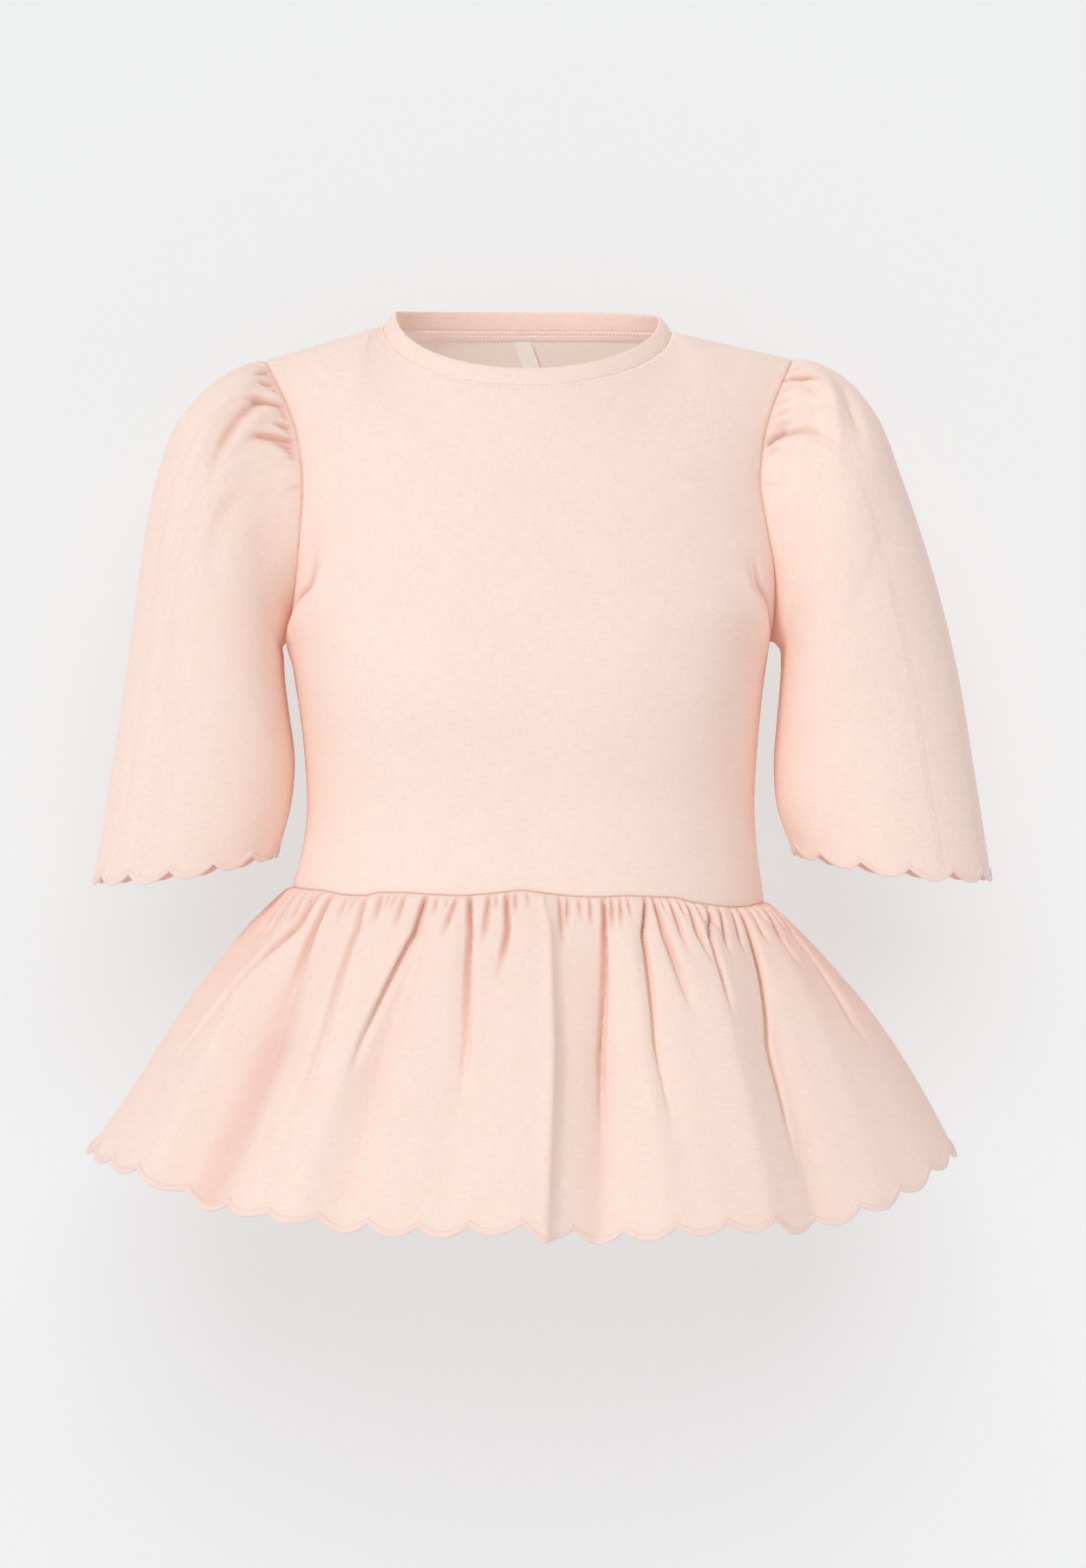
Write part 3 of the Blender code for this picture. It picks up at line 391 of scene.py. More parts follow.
# Gathers and soft creases of the sleeve heads. Places are shares of the way round from the top of the sleeve,
# + to the front, at three distances from the armhole; rise and half widths are in millimetres.
SLEEVE_PLACES_OUT = (0.0, 0.020, 0.060, 0.140)
RIGHT_SLEEVE_CREASES = table(
    "armhole near far low rise left right spread start end",
    (-0.3, -0.3, -0.3, -0.3, -1, 2, 2, 1.6, 0, 0.022),
    (-0.262, -0.262, -0.262, -0.262, -1.5, 1.8, 1.8, 1.8, 0, 0.034),
    (-0.226, -0.226, -0.226, -0.226, -1.1, 1.4, 1.4, 1.4, 0, 0.016),
    (-0.192, -0.19, -0.19, -0.19, -1.9, 1.5, 1.8, 2.2, 0, 0.04),
    (-0.172, -0.171, -0.17, -0.17, -1.2, 1.2, 1.2, 1.3, 0, 0.014),
    (-0.155, -0.154, -0.154, -0.154, -1.6, 1.3, 1.3, 1.4, 0, 0.02),
    (-0.138, -0.137, -0.136, -0.136, -1.2, 1.2, 1.2, 1.3, 0, 0.014),
    (-0.122, -0.12, -0.118, -0.118, -1.9, 1.4, 1.6, 1.8, 0, 0.03),
    (-0.104, -0.103, -0.102, -0.102, -1.3, 1.2, 1.2, 1.3, 0, 0.016),
    (-0.088, -0.086, -0.086, -0.086, -1.5, 1.3, 1.3, 1.4, 0, 0.018),
    (-0.07, -0.068, -0.068, -0.068, -1.2, 1.2, 1.2, 1.3, 0, 0.014),
    (-0.052, -0.05, -0.048, -0.048, -1.9, 1.4, 1.7, 1.8, 0, 0.034),
    (-0.033, -0.032, -0.031, -0.031, -1.2, 1.2, 1.2, 1.3, 0, 0.014),
    (-0.015, -0.014, -0.014, -0.014, -1.6, 1.3, 1.4, 1.4, 0, 0.022),
    (0.004, 0.004, 0.004, 0.004, -1.4, 1.3, 1.3, 1.4, 0, 0.018),
    (0.022, 0.022, 0.022, 0.022, -1.7, 1.3, 1.5, 1.5, 0, 0.024),
    (0.042, 0.043, 0.044, 0.044, -1.3, 1.2, 1.2, 1.3, 0, 0.016),
    (0.05, 0.067, 0.068, 0.068, -2.2, 1.6, 2, 1.4, 0, 0.022),
    (0.066, 0.074, 0.076, 0.076, -1.5, 1.4, 1.4, 1.2, 0, 0.01),
    (0.081, 0.09, 0.092, 0.092, -2.8, 1.6, 2, 1.4, 0, 0.02),
    (0.097, 0.102, 0.104, 0.104, -1.8, 1.4, 1.5, 1.2, 0, 0.01),
    (0.124, 0.12, 0.124, 0.13, -3.8, 1.6, 2.2, 1.6, 0, 0.03),
    (0.136, 0.132, 0.132, 0.132, -2.4, 1.4, 1.5, 1.2, 0, 0.009),
    (0.146, 0.14, 0.14, 0.14, -2.2, 1.4, 1.5, 1.2, 0, 0.008),
    (0.158, 0.158, 0.16, 0.16, -2.8, 1.5, 1.7, 1.2, 0, 0.015),
    (0.168, 0.162, 0.162, 0.162, -2, 1.3, 1.4, 1.2, 0, 0.009),
    (0.179, 0.176, 0.17, 0.17, -3.4, 1.5, 2, 1.6, 0, 0.036),
    (0.19, 0.182, 0.18, 0.18, -2.8, 1.4, 1.7, 1.3, 0, 0.018),
    (0.198, 0.188, 0.186, 0.186, -2.2, 1.4, 1.5, 1.2, 0, 0.012),
    (0.205, 0.198, 0.196, 0.196, -2, 1.4, 1.5, 1.2, 0, 0.009),
    (0.245, 0.244, 0.244, 0.244, -0.7, 1.6, 1.6, 1.4, 0, 0.012),
    (0.118, 0.124, 0.184, 0.22, -3, 4, 4.5, 1.3, 0.01, 0.066),
    (0.14, 0.146, 0.19, 0.24, 2.2, 5, 5, 1.5, 0.006, 0.045),
    (0.08, 0.09, 0.14, 0.18, 2.2, 7, 7, 1.5, 0.01, 0.09),
    (0.23, 0.23, 0.235, 0.24, -1.4, 7, 9, 1.6, 0.03, 0.11),
    (-0.08, -0.09, -0.11, -0.13, -2.6, 5, 4, 1.8, 0.01, 0.11),
    (-0.2, -0.2, -0.21, -0.22, 2, 7, 7, 1.6, 0.01, 0.1))
LEFT_SLEEVE_CREASES = table(
    "armhole near far low rise left right spread start end",
    (-0.29, -0.29, -0.29, -0.29, -1, 2, 2, 1.6, 0, 0.022),
    (-0.25, -0.25, -0.25, -0.25, -1.4, 1.6, 1.6, 1.8, 0, 0.03),
    (-0.216, -0.216, -0.216, -0.216, -1.1, 1.3, 1.3, 1.3, 0, 0.014),
    (-0.194, -0.193, -0.192, -0.192, -1.4, 1.2, 1.3, 1.3, 0, 0.016),
    (-0.176, -0.174, -0.173, -0.173, -1.9, 1.4, 1.7, 2, 0, 0.04),
    (-0.156, -0.155, -0.154, -0.154, -1.2, 1.2, 1.2, 1.3, 0, 0.014),
    (-0.138, -0.137, -0.136, -0.136, -1.5, 1.3, 1.3, 1.4, 0, 0.02),
    (-0.118, -0.117, -0.116, -0.116, -1.2, 1.2, 1.2, 1.3, 0, 0.014),
    (-0.098, -0.096, -0.094, -0.094, -1.8, 1.4, 1.6, 1.8, 0, 0.032),
    (-0.078, -0.077, -0.076, -0.076, -1.3, 1.2, 1.2, 1.3, 0, 0.016),
    (-0.06, -0.059, -0.058, -0.058, -1.5, 1.3, 1.3, 1.4, 0, 0.02),
    (-0.04, -0.039, -0.038, -0.038, -1.2, 1.2, 1.2, 1.3, 0, 0.014),
    (-0.02, -0.019, -0.018, -0.018, -1.8, 1.4, 1.6, 1.8, 0, 0.034),
    (0, 0, 0, 0, -1.3, 1.2, 1.3, 1.3, 0, 0.016),
    (0.018, 0.018, 0.018, 0.018, -1.5, 1.3, 1.3, 1.4, 0, 0.02),
    (0.037, 0.038, 0.038, 0.038, -1.2, 1.2, 1.2, 1.3, 0, 0.014),
    (0.054, 0.056, 0.058, 0.058, -1.4, 1.3, 1.5, 1.3, 0, 0.012),
    (0.071, 0.082, 0.084, 0.084, -4.2, 1.4, 2.2, 1.4, 0, 0.026),
    (0.095, 0.102, 0.104, 0.104, -1.2, 1.4, 1.5, 1.2, 0, 0.01),
    (0.118, 0.12, 0.12, 0.12, -1, 1.4, 1.5, 1.2, 0, 0.009),
    (0.14, 0.138, 0.136, 0.136, -1.4, 1.5, 1.6, 1.2, 0, 0.012),
    (0.158, 0.152, 0.15, 0.15, -1.4, 1.5, 1.6, 1.2, 0, 0.014),
    (0.176, 0.168, 0.165, 0.162, -2, 1.8, 2.2, 1.5, 0, 0.032),
    (0.188, 0.13, 0.12, 0.12, -3.8, 1.4, 2, 1.3, 0, 0.011),
    (0.198, 0.18, 0.176, 0.176, -1.6, 1.4, 1.6, 1.2, 0, 0.008),
    (0.24, 0.24, 0.24, 0.24, -0.7, 1.6, 1.6, 1.2, 0, 0.012),
    (-0.07, -0.08, -0.1, -0.12, -2.6, 5, 4, 1.8, 0.01, 0.11),
    (-0.19, -0.19, -0.2, -0.21, 2, 7, 7, 1.6, 0.01, 0.1))

# Soft hollows (-) and swellings (+) of the sleeves that lie across them: share from the top and distance from
# the armhole of the middle, rise, half length round the sleeve and half width, in millimetres, and how far the
# length turns outwards, in degrees, as it goes to the front.
RIGHT_SLEEVE_HOLLOWS = table(
    "share distance rise long wide turn",
    (0.18, 0.095, -1.6, 30, 6, -10),
    (0.06, 0.06, 1.6, 26, 9, -30),
    (0.205, 0.15, -1.2, 30, 9, 12),
    (-0.16, 0.05, -2.4, 24, 7, 20),
    (-0.21, 0.12, -1.6, 30, 8, -14))
LEFT_SLEEVE_HOLLOWS = table(
    "share distance rise long wide turn",
    (0.101, 0.017, -4.4, 9, 2.4, 35),
    (0.144, 0.017, -4.6, 12, 4, -24),
    (0.118, 0.031, 5.4, 24, 4.6, 16),
    (0.096, 0.042, -4, 18, 5, 22),
    (0.175, 0.025, -1.6, 10, 3.5, -6),
    (0.2, 0.1, -1.4, 30, 8, 10),
    (-0.15, 0.045, -2.4, 22, 7, -18),
    (-0.21, 0.13, -1.6, 30, 8, 12))

# Creases where the bodice folds at the armpits: places across at heights above the waist seam, as above
ARMPIT_HEIGHTS = (0.160, 0.172, 0.185, 0.196)
FRONT_ARMPIT = table(
    "low middle high top rise left right spread start end",
    (-0.975, -0.962, -0.93, -0.85, -9.5, 3.6, 3.2, 1, 0.14, 0.222),
    (-0.91, -0.89, -0.86, -0.78, 3.8, 4, 12, 1, 0.14, 0.228),
    (0.935, 0.925, 0.905, 0.84, -8, 2.8, 3.4, 1, 0.136, 0.218),
    (0.86, 0.85, 0.82, 0.76, 2.6, 12, 4, 1, 0.13, 0.228))
BACK_ARMPIT = table(
    "low middle high top rise left right spread start end",
    (-0.94, -0.93, -0.9, -0.85, -4.6, 2.6, 3, 1, 0.142, 0.205),
    (0.955, 0.94, 0.91, 0.86, -4.8, 3, 2.6, 1, 0.146, 0.208))


def unit(vectors):
    """Vectors of length one."""
    return vectors / np.linalg.norm(vectors, axis=-1, keepdims=True)


def mix(a, b, share):
    """The value that lies a given share of the way from a to b."""
    return a + (b - a) * share


def rise(x):
    """0 below 0, 1 above 1, and a smooth step between."""
    x = np.clip(x, 0.0, 1.0)
    return x * x * (3.0 - 2.0 * x)


def bell(x):
    """1 at 0, falling off on either side: exp(-x^2)."""
    return np.exp(-x ** 2)


def row_lengths(grid):
    """How long each row of a grid is."""
    return np.linalg.norm(np.diff(grid, axis=1), axis=2).sum(axis=1)


def through(rows, places, last=None):
    """Smooth curves through the rows of points [row, column, 3], read at row numbers, such as 2.5.

    Each piece is a cubic. The slope at a row is the mean of the chords on either side, each weighted by
    the other's length; last is the direction in which the curves end."""
    step = rows[1:] - rows[:-1]
    chord = np.linalg.norm(step, axis=-1, keepdims=True)
    slope = step / chord
    inner = (slope[:-1] * chord[1:] + slope[1:] * chord[:-1]) / (chord[1:] + chord[:-1])
    end = slope[-1:] if last is None else last[None]
    slopes = np.concatenate([slope[:1], inner, end])
    places = np.asarray(places, dtype=float)
    cell = np.clip(places.astype(int), 0, len(rows) - 2)
    f = (places - cell)[:, None, None]
    pull = chord[cell]
    return ((1 + 2 * f) * (1 - f) ** 2 * rows[cell] + f * (1 - f) ** 2 * pull * slopes[cell]
            + f * f * (3 - 2 * f) * rows[cell + 1] + f * f * (f - 1) * pull * slopes[cell + 1])


def lengths(path):
    """How far along its path each point lies."""
    return np.concatenate([[0.0], np.cumsum(np.linalg.norm(np.diff(path, axis=0), axis=1))])


def along(path, values, shares):
    """Values given at the points of a path, read at shares of its length by straight lines."""
    reach = lengths(path)
    at = np.asarray(shares) * reach[-1]
    return np.stack([np.interp(at, reach, values[:, i]) for i in range(values.shape[1])], axis=1)


def outward(grid, ring=False):
    """Unit normals of a grid whose columns run counter-clockwise from above and whose rows run up."""
    if ring:
        wide = np.concatenate([grid[:, -1:], grid, grid[:, :1]], axis=1)
        across = (wide[:, 2:] - wide[:, :-2]) / 2
    else:
        across = np.gradient(grid, axis=1)
    return unit(np.cross(across, np.gradient(grid, axis=0)))


def creases(share, down, reach, places_down, rows):
    """How far soft creases stand out of the cloth, in metres.

    Each is a bell across its path, rise * exp(-(d / half width)^2), with d the distance from the path and
    its own half width on either side, both growing with the way down. It starts at the seam, where it is
    held to two fifths, unless the table has a start, after which it fades in. It fades out over the last
    half of its length."""
    total = np.zeros((len(down), len(share)))
    row_down = down[:, None]
    names = list(rows)[:4]
    starts = rows.get("start", np.zeros(len(rows["end"])))
    seam = places_down[1] * 0.25
    for k, (start, end) in enumerate(zip(starts, rows["end"])):
        path = np.interp(down, places_down, [rows[name][k] for name in names])[:, None]
        apart = (share[None, :] - path) * reach[:, None]
        wide_at = min(end, places_down[-1])
        wider = mix(1.0, rows["spread"][k], np.clip((row_down - start) / (wide_at - start), 0, 1))
        half = np.where(apart < 0, rows["left"][k], rows["right"][k]) * MM * wider
        long = end - start
        grow = rise((row_down - start) / (0.35 * long)) if start > 0 else 0.4 + 0.6 * rise(row_down / seam)
        fade = rise((end - row_down) / (0.5 * long))
        total += rows["rise"][k] * MM * grow * fade * bell(apart / half)
    return total


def hollows(share, distance, reach, rows):
    """How far soft hollows and swellings stand out, in metres: each is an oval bell,
    rise * exp(-(a / half length)^2 - (b / half width)^2), its length turned outwards as it goes round."""
    total = np.zeros((len(distance), len(share)))
    for k in range(len(rows["rise"])):
        around = (share[None, :] - rows["share"][k]) * reach[:, None]
        out = (distance - rows["distance"][k])[:, None]
        turn = np.radians(rows["turn"][k])
        a = around * np.cos(turn) + out * np.sin(turn)
        b = out * np.cos(turn) - around * np.sin(turn)
        oval = bell(a / (rows["long"][k] * MM)) * bell(b / (rows["wide"][k] * MM))
        total += rows["rise"][k] * MM * oval
    return total


def section(t, left, right, edge_y, middle_y, edge_height, middle_height, turn, full):
    """One row across a panel, t running from -1 at its left edge to 1 at its right.

    It is an arc of an ellipse that wraps round by turn degrees and is filled out by full; where the panel's
    middle and edges lie at different heights, the row rises or falls like the same arc."""
    wrap = np.radians(turn)
    bow = (np.cos(t * wrap) - np.cos(wrap)) / (1 - np.cos(wrap))
    bulge = 1 - (1 - bow) ** full
    x = mix(left, right, 0.5) + (right - left) / 2 * np.sin(t * wrap) / np.sin(wrap)
    return np.stack([x, mix(edge_y, middle_y, bulge), mix(edge_height, middle_height, bow)], axis=-1)


def neckline(s, side):
    """The seam of the neckband on one panel: half an ellipse from high point to high point, s from -1 to 1."""
    angle = s * np.pi / 2
    (left_x, left_z), (right_x, right_z) = NECK_POINT["left"], NECK_POINT["right"]
    middle_y, middle_z = NECK_MIDDLE[side]
    high = mix(left_z, right_z, (1 + np.sin(angle)) / 2)
    x = mix(left_x, right_x, (1 + np.sin(angle)) / 2)
    y = mix(SHOULDER_SEAM_Y, middle_y, np.cos(angle))
    z = mix(high, middle_z, np.cos(angle))
    return np.stack([x, y, z], axis=-1)


SEAM_STEPS = np.array([0.0, 0.002, 0.0045, 0.008, 0.014])
SHOULDER_COLUMNS = 38
EASING_REACH = 9.0
EASING_STEPS = 40
NECK_COLUMNS = 72


def panel_columns():
    """Places across a bodice panel: the two shoulders, the neck between them, and extra ones at the seams."""
    shoulder = np.linspace(-1 + SEAM_STEPS[-1] * 1.8, -NECK_SHARE, SHOULDER_COLUMNS + 1)[:-1]
    neck = np.linspace(-NECK_SHARE, NECK_SHARE, NECK_COLUMNS + 1)
    shoulder = np.concatenate([-1 + SEAM_STEPS, shoulder])
    return np.concatenate([shoulder, neck, -shoulder[::-1]])


FIRST_NECK_COLUMN = len(SEAM_STEPS) + SHOULDER_COLUMNS
UNDERARM = len(BODY["height"]) - 1
LAST_SECTION = UNDERARM + len(FRONT_CHEST["turn"])


def panel_rows():
    """Places up a bodice panel, as section numbers: closer together at the waist and below the top seams."""
    waist = np.array([0.0, 0.02, 0.05, 0.1, 0.17, 0.25])
    body = np.linspace(0.25, LAST_SECTION, 84)[1:]
    top = LAST_SECTION + np.linspace(0, 0.90, 28)[1:]
    seam = LAST_SECTION + np.array([0.92, 0.934, 0.946, 0.956, 0.966, 0.976, 0.986, 0.993, 1.0])
    return np.concatenate([waist, body, top, seam])


def eased(grid, row, columns):
    """The grid with its rows near the given one drawn towards the mean of their neighbours, so that the cloth
    runs smoothly past it; columns says how much, from 0 to 1."""
    near = bell((np.arange(len(grid)) - row) / EASING_REACH)[:, None, None] * columns[None, :, None]
    for step in range(EASING_STEPS):
        grid[1:-1] += 0.5 * near[1:-1] * ((grid[2:] + grid[:-2]) / 2 - grid[1:-1])
    return grid


def panel(side):
    """The front or back of the bodice as points [row, column, 3], rows from the waist up.

    The rows follow BODY up to the underarm and then the armholes; the last one is the shoulder seams and
    the neck seam between them, where the cloth has turned over the top of the shoulder. Also gives how far
    the armpit's folds stand out at each point, in metres."""
    front = side == "front"
    away = -1 if front else 1
    t = panel_columns()
    chest = FRONT_CHEST if front else BACK_CHEST
    rows = []
    for k in range(len(BODY["height"])):
        height = BODY["height"][k]
        rows.append(section(t, BODY["left"][k], BODY["right"][k], 0.0, BODY[side][k], height, height,
                            90, BODY[side + "_full"][k]))
    rows[0][:, 2] -= WAIST_TILT * t
    for k in range(len(chest["turn"])):
        rows.append(section(t, chest["left"][k], chest["right"][k], chest["edge_y"][k], chest["middle_y"][k],
                            chest["edge_height"][k], chest["middle_height"][k], chest["turn"][k],
                            chest["full"][k]))
    top = neckline(np.clip(t / NECK_SHARE, -1, 1), side)
    for name, sign in (("left", -1), ("right", 1)):
        out = np.clip((sign * t - NECK_SHARE) / (1 - NECK_SHARE), 0, 1)[:, None]
        point = np.array([SHOULDER_POINT[name][0], SHOULDER_SEAM_Y, SHOULDER_POINT[name][1]])
        top = mix(top, point, out)
    rows.append(top)
    steep = np.cos(np.clip(t / NECK_SHARE, -1, 1) * np.pi / 2)
    inwards = 0.8 * (1 - steep ** 2) * np.exp(-np.clip(abs(t) - NECK_SHARE, 0, 1) / 0.12)
    ends = unit(np.stack([-np.sign(t) * inwards, -away * (1 - 0.35 * steep), 1.1 * steep + 0.3 * inwards],
                         axis=-1))
    grid = through(np.stack(rows), panel_rows(), ends)
    grid = eased(grid, underarm_row(), rise((1 - np.abs(t)) / 0.12))
    wave = FRONT_WAIST_WAVE if front else BACK_WAIST_WAVE
    place = (grid[0, :, 0] - BODY["left"][0]) / (BODY["right"][0] - BODY["left"][0]) * 2 - 1
    height = grid[..., 2] - grid[0, :, 2]
    grid[..., 2] += np.interp(place, wave["place"], wave["rise"]) * MM * rise(1 - height / WAIST_WAVE_REACH)
    up = height[:, len(t) // 2]
    fold = creases(t, up, row_lengths(grid) / 2, ARMPIT_HEIGHTS, FRONT_ARMPIT if front else BACK_ARMPIT)
    grid = grid - outward(grid) * (fold * away)[..., None]
    return (grid, fold) if front else (grid[:, ::-1], fold[:, ::-1])


def sewn_in(grid, normal, fold):
    """Draws the cloth in along its edges, where a seam holds it, and a little under the row of neck stitches.

    Also gives the painted shade of each point, from 0 to 1, along the armhole and waist seams, in the armpit
    and in the armpit's folds."""
    columns = np.linalg.norm(np.diff(grid, axis=1), axis=2)
    left = np.concatenate([np.zeros((len(grid), 1)), np.cumsum(columns, axis=1)], axis=1)
    right = left[:, -1:] - left
    rows = np.linalg.norm(np.diff(grid, axis=0), axis=2)
    up = np.concatenate([np.zeros((1, grid.shape[1])), np.cumsum(rows, axis=0)], axis=0)
    from_top = up[-1:] - up
    armhole_rows = (np.arange(len(grid)) >= underarm_row())[:, None]
    side = np.minimum(left, right)
    # Painted shade along the armhole and waist seams, in the armpit and in the armpit's folds
    line = np.maximum(bell(side / SEAM_SHADE_WIDTH) * armhole_rows, 0.5 * bell(up / SEAM_SHADE_WIDTH)) * 0.8
    height = grid[..., 2] - grid[underarm_row(), [0, -1], 2].mean()
    pit = bell(side / PIT_WIDTH) * bell((height + PIT_DROP) / PIT_HEIGHT)
    line = np.maximum(line, np.maximum(0.7 * pit, 0.9 * np.clip(-fold / DEEP_CREASE, 0, 1)))
    near = bell(left / SEAM_REACH) + bell(right / SEAM_REACH)
    near = np.maximum(np.maximum(near, bell(from_top / SEAM_REACH)), bell(up / WAIST_SEAM_REACH))
    sewn = NECK_SEWING_DRAW * bell((from_top - NECK_SEWING) / NECK_SEWING_REACH)
    sewn = sewn * (np.abs(panel_columns()) < NECK_SHARE)
    return grid - normal * ((near + sewn) * SEAM_DRAW)[..., None], line


def seam_directions(front, back):
    """Which way the cloth's thickness goes at every point of both panels, outwards.

    It is the normal, but along the armholes it leans to the armhole's own outward direction, and panels
    that meet at a seam share one direction there."""
    result = []
    for grid in (front, back):
        normal = outward(grid)
        rows = underarm_row()
        for column in (0, -1):
            edge = grid[rows:, column]
            middle = np.array([edge[0, 0], 0.0, (edge[0, 2] + edge[-1, 2]) / 2])
            away = edge - middle
            away[:, 0] = 0.0
            normal[rows:, column] = unit(normal[rows:, column] + unit(away))
        result.append(normal)
    last = underarm_row() + 1
    for a, b in ((0, -1), (-1, 0)):
        shared = unit(result[0][:last, a] + result[1][:last, b])
        result[0][:last, a] = shared
        result[1][:last, b] = shared
    shared = unit(result[0][-1] + result[1][-1, ::-1])
    shoulders = np.ones(len(shared), dtype=bool)
    shoulders[FIRST_NECK_COLUMN + 1:FIRST_NECK_COLUMN + NECK_COLUMNS] = False
    result[0][-1, shoulders] = shared[shoulders]
    result[1][-1, shoulders[::-1]] = shared[::-1][shoulders[::-1]]
    return result


def underarm_row():
    """The row of a panel's grid at the underarm."""
    return int(np.argmin(np.abs(panel_rows() - UNDERARM)))


def armhole(front, back, directions, wearer):
    """The armhole's edge and its wall directions: from the shoulder down one panel and up the other."""
    lowest = underarm_row()
    front_side, back_side = (0, -1) if wearer == "right" else (-1, 0)
    edges = [front[lowest:, front_side][::-1], back[lowest:, back_side]]
    walls = [directions[0][lowest:, front_side][::-1], directions[1][lowest:, back_side]]
    if wearer == "left":
        edges = [edges[1][::-1], edges[0][::-1]]
        walls = [walls[1][::-1], walls[0][::-1]]
    return edges, walls


SLEEVE_COLUMNS = SLEEVE_SCALLOPS * SLEEVE_COLUMNS_A_SCALLOP
HEM_EDGE_STEPS = np.array([0.0, 0.0012, 0.0026, 0.0040, 0.0052, 0.0080, 0.0120, 0.0170, 0.0230])


def scalloped(grid, scallop, edge_steps):
    """Lengthens the lowest rows into scallops: each row moves down its own column by the full scallop within
    the edging, and by less and less above it."""
    down = unit(grid[0] - grid[8])
    share = rise(1 - (edge_steps - EDGING_WIDTH) / HEM_FADE)
    rows = len(edge_steps)
    grid[:rows] += down[None] * (SCALLOP_DEPTH * share[:, None] * scallop[None, :])[..., None]
    return grid


def sleeve(front, back, directions, wearer):
    """Outer points and wall directions of a sleeve [row, column, 3], and how deep each lies in shade.

    Rows run from the hem up to the armhole, and one more is tucked under the seam.

    Each ring is an ellipse from the outer point of its row in the table to the underarm point. The first
    ring is the armhole's edge. Gathers stand out of the head, and the hem is cut in scallops."""
    rings = SLEEVE_RIGHT if wearer == "right" else SLEEVE_LEFT
    turn = np.arange(SLEEVE_COLUMNS) / SLEEVE_COLUMNS
    angle = 2 * np.pi * turn
    edges, walls = armhole(front, back, directions, wearer)
    first = turn < 0.5
    edge = np.where(first[:, None], along(edges[0], edges[0], np.clip(turn * 2, 0, 1)),
                    along(edges[1], edges[1], np.clip(turn * 2 - 1, 0, 1)))
    wall_way = unit(np.where(first[:, None], along(edges[0], walls[0], np.clip(turn * 2, 0, 1)),
                             along(edges[1], walls[1], np.clip(turn * 2 - 1, 0, 1))))
    rows = [edge]
    toward = 1 if wearer == "right" else -1
    for k in range(len(rings["front"])):
        outer = np.array([rings["outer_x"][k], rings["outer_height"][k]])
        under = np.array([rings["under_x"][k], rings["under_height"][k]])
        across = np.cos(angle)
        depth = np.sin(angle) * toward
        spot = mix(under, outer, (1 + across[:, None]) / 2)
        flat = np.abs(depth) ** SLEEVE_FLATNESS
        y = np.where(depth > 0, rings["front"][k] * flat, rings["back"][k] * flat)
        droop = SLEEVE_HEM_DROOP * depth ** 2 * rise((k - 4) / 3)
        rows.append(np.stack([spot[:, 0], y, spot[:, 1] - droop], axis=-1))
    hem_place = len(rings["front"])
    places = np.concatenate([[0.0, 0.05, 0.11, 0.18, 0.27, 0.38], np.linspace(0.5, hem_place - 0.45, 58),
                             hem_place - HEM_EDGE_STEPS[::-1] / LAST_SLEEVE_RING])
    grid = through(np.stack(rows), places)[::-1]
    normal = outward(grid, ring=True)
    distance = lengths(grid[::-1, SLEEVE_COLUMNS // 4])[::-1]
    perimeter = np.linalg.norm(grid - np.roll(grid, 1, axis=1), axis=2).sum(axis=1)
    from_top = np.where(turn < 0.5, turn, turn - 1) * toward
    rows_table = RIGHT_SLEEVE_CREASES if wearer == "right" else LEFT_SLEEVE_CREASES
    fine = SLEEVE_CREASE_DEPTH * creases(from_top, distance, perimeter, SLEEVE_PLACES_OUT, rows_table)
    hollow_table = RIGHT_SLEEVE_HOLLOWS if wearer == "right" else LEFT_SLEEVE_HOLLOWS
    lift = fine + hollows(from_top, distance, perimeter, hollow_table)
    puff = SLEEVE_PUFF * rise(distance / 0.006) * rise((0.05 - distance) / 0.05)
    head = rise((np.cos(angle) + 0.30) * 2)
    held = rise(distance / SEAM_HOLD)[:, None]
    grid = grid + normal * (lift * held + puff[:, None] * head[None])[..., None]
    way_out = unit(grid[-4] - grid[-1])
    grid[-1] -= wall_way * SEAM_DEPTH
    scallop = np.abs(np.sin(np.pi * SLEEVE_SCALLOPS * turn)) ** SCALLOP_ROUNDNESS
    grid = scalloped(grid, scallop, HEM_EDGE_STEPS)
    normal = outward(grid, ring=True)
    normal[-1] = wall_way
    tucked = grid[-1] - wall_way * SEAM_DEPTH / 2 - way_out * SEAM_ALLOWANCE
    shade = in_shade(fine * held, distance)
    # Painted shade under the arm, near the armhole
    pit = bell((np.cos(angle) + 1) / 0.10)[None] * bell(distance / 0.030)[:, None]
    shade[:-1] = np.maximum(shade[:-1], 0.8 * pit)
    return np.concatenate([grid, tucked[None]]), np.concatenate([normal, wall_way[None]]), shade


def in_shade(lift, distance):
    """Painted shade of each point in a fine crease or beside the seam, from 0 to 1, with the tucked row last.
    """
    shade = np.clip(-lift / DEEP_CREASE, 0, 1) * rise((FINE_REACH - distance) / FINE_REACH)[:, None]
    shade = np.maximum(shade, bell(distance / SEAM_SHADE_WIDTH)[:, None])
    return np.concatenate([shade, np.ones_like(shade[:1])])


def peplum_places_down():
    """Places down the peplum, 0 at the waist and 1 at the hem, closer together at the gathers and the hem."""
    seam = np.array([0.0, 0.004, 0.009, 0.015, 0.022, 0.030, 0.040, 0.051, 0.063, 0.077, 0.092])
    body = np.linspace(0.092, 1 - 0.030 / PEPLUM_CUT_DEPTH, 46)[1:]
    return np.concatenate([seam, body, 1 - HEM_EDGE_STEPS[::-1] / PEPLUM_CUT_DEPTH])


def softened(values, reach):
    """Values averaged along their rows with the weights exp(-(k / reach)^2), k columns away."""
    steps = np.arange(-int(3 * reach), int(3 * reach) + 1)
    weights = bell(steps / reach)
    padded = np.pad(values, ((0, 0), (len(steps) // 2, len(steps) // 2)), mode="edge")
    columns = values.shape[1]
    return sum(w * padded[:, k:k + columns] for k, w in enumerate(weights / weights.sum()))


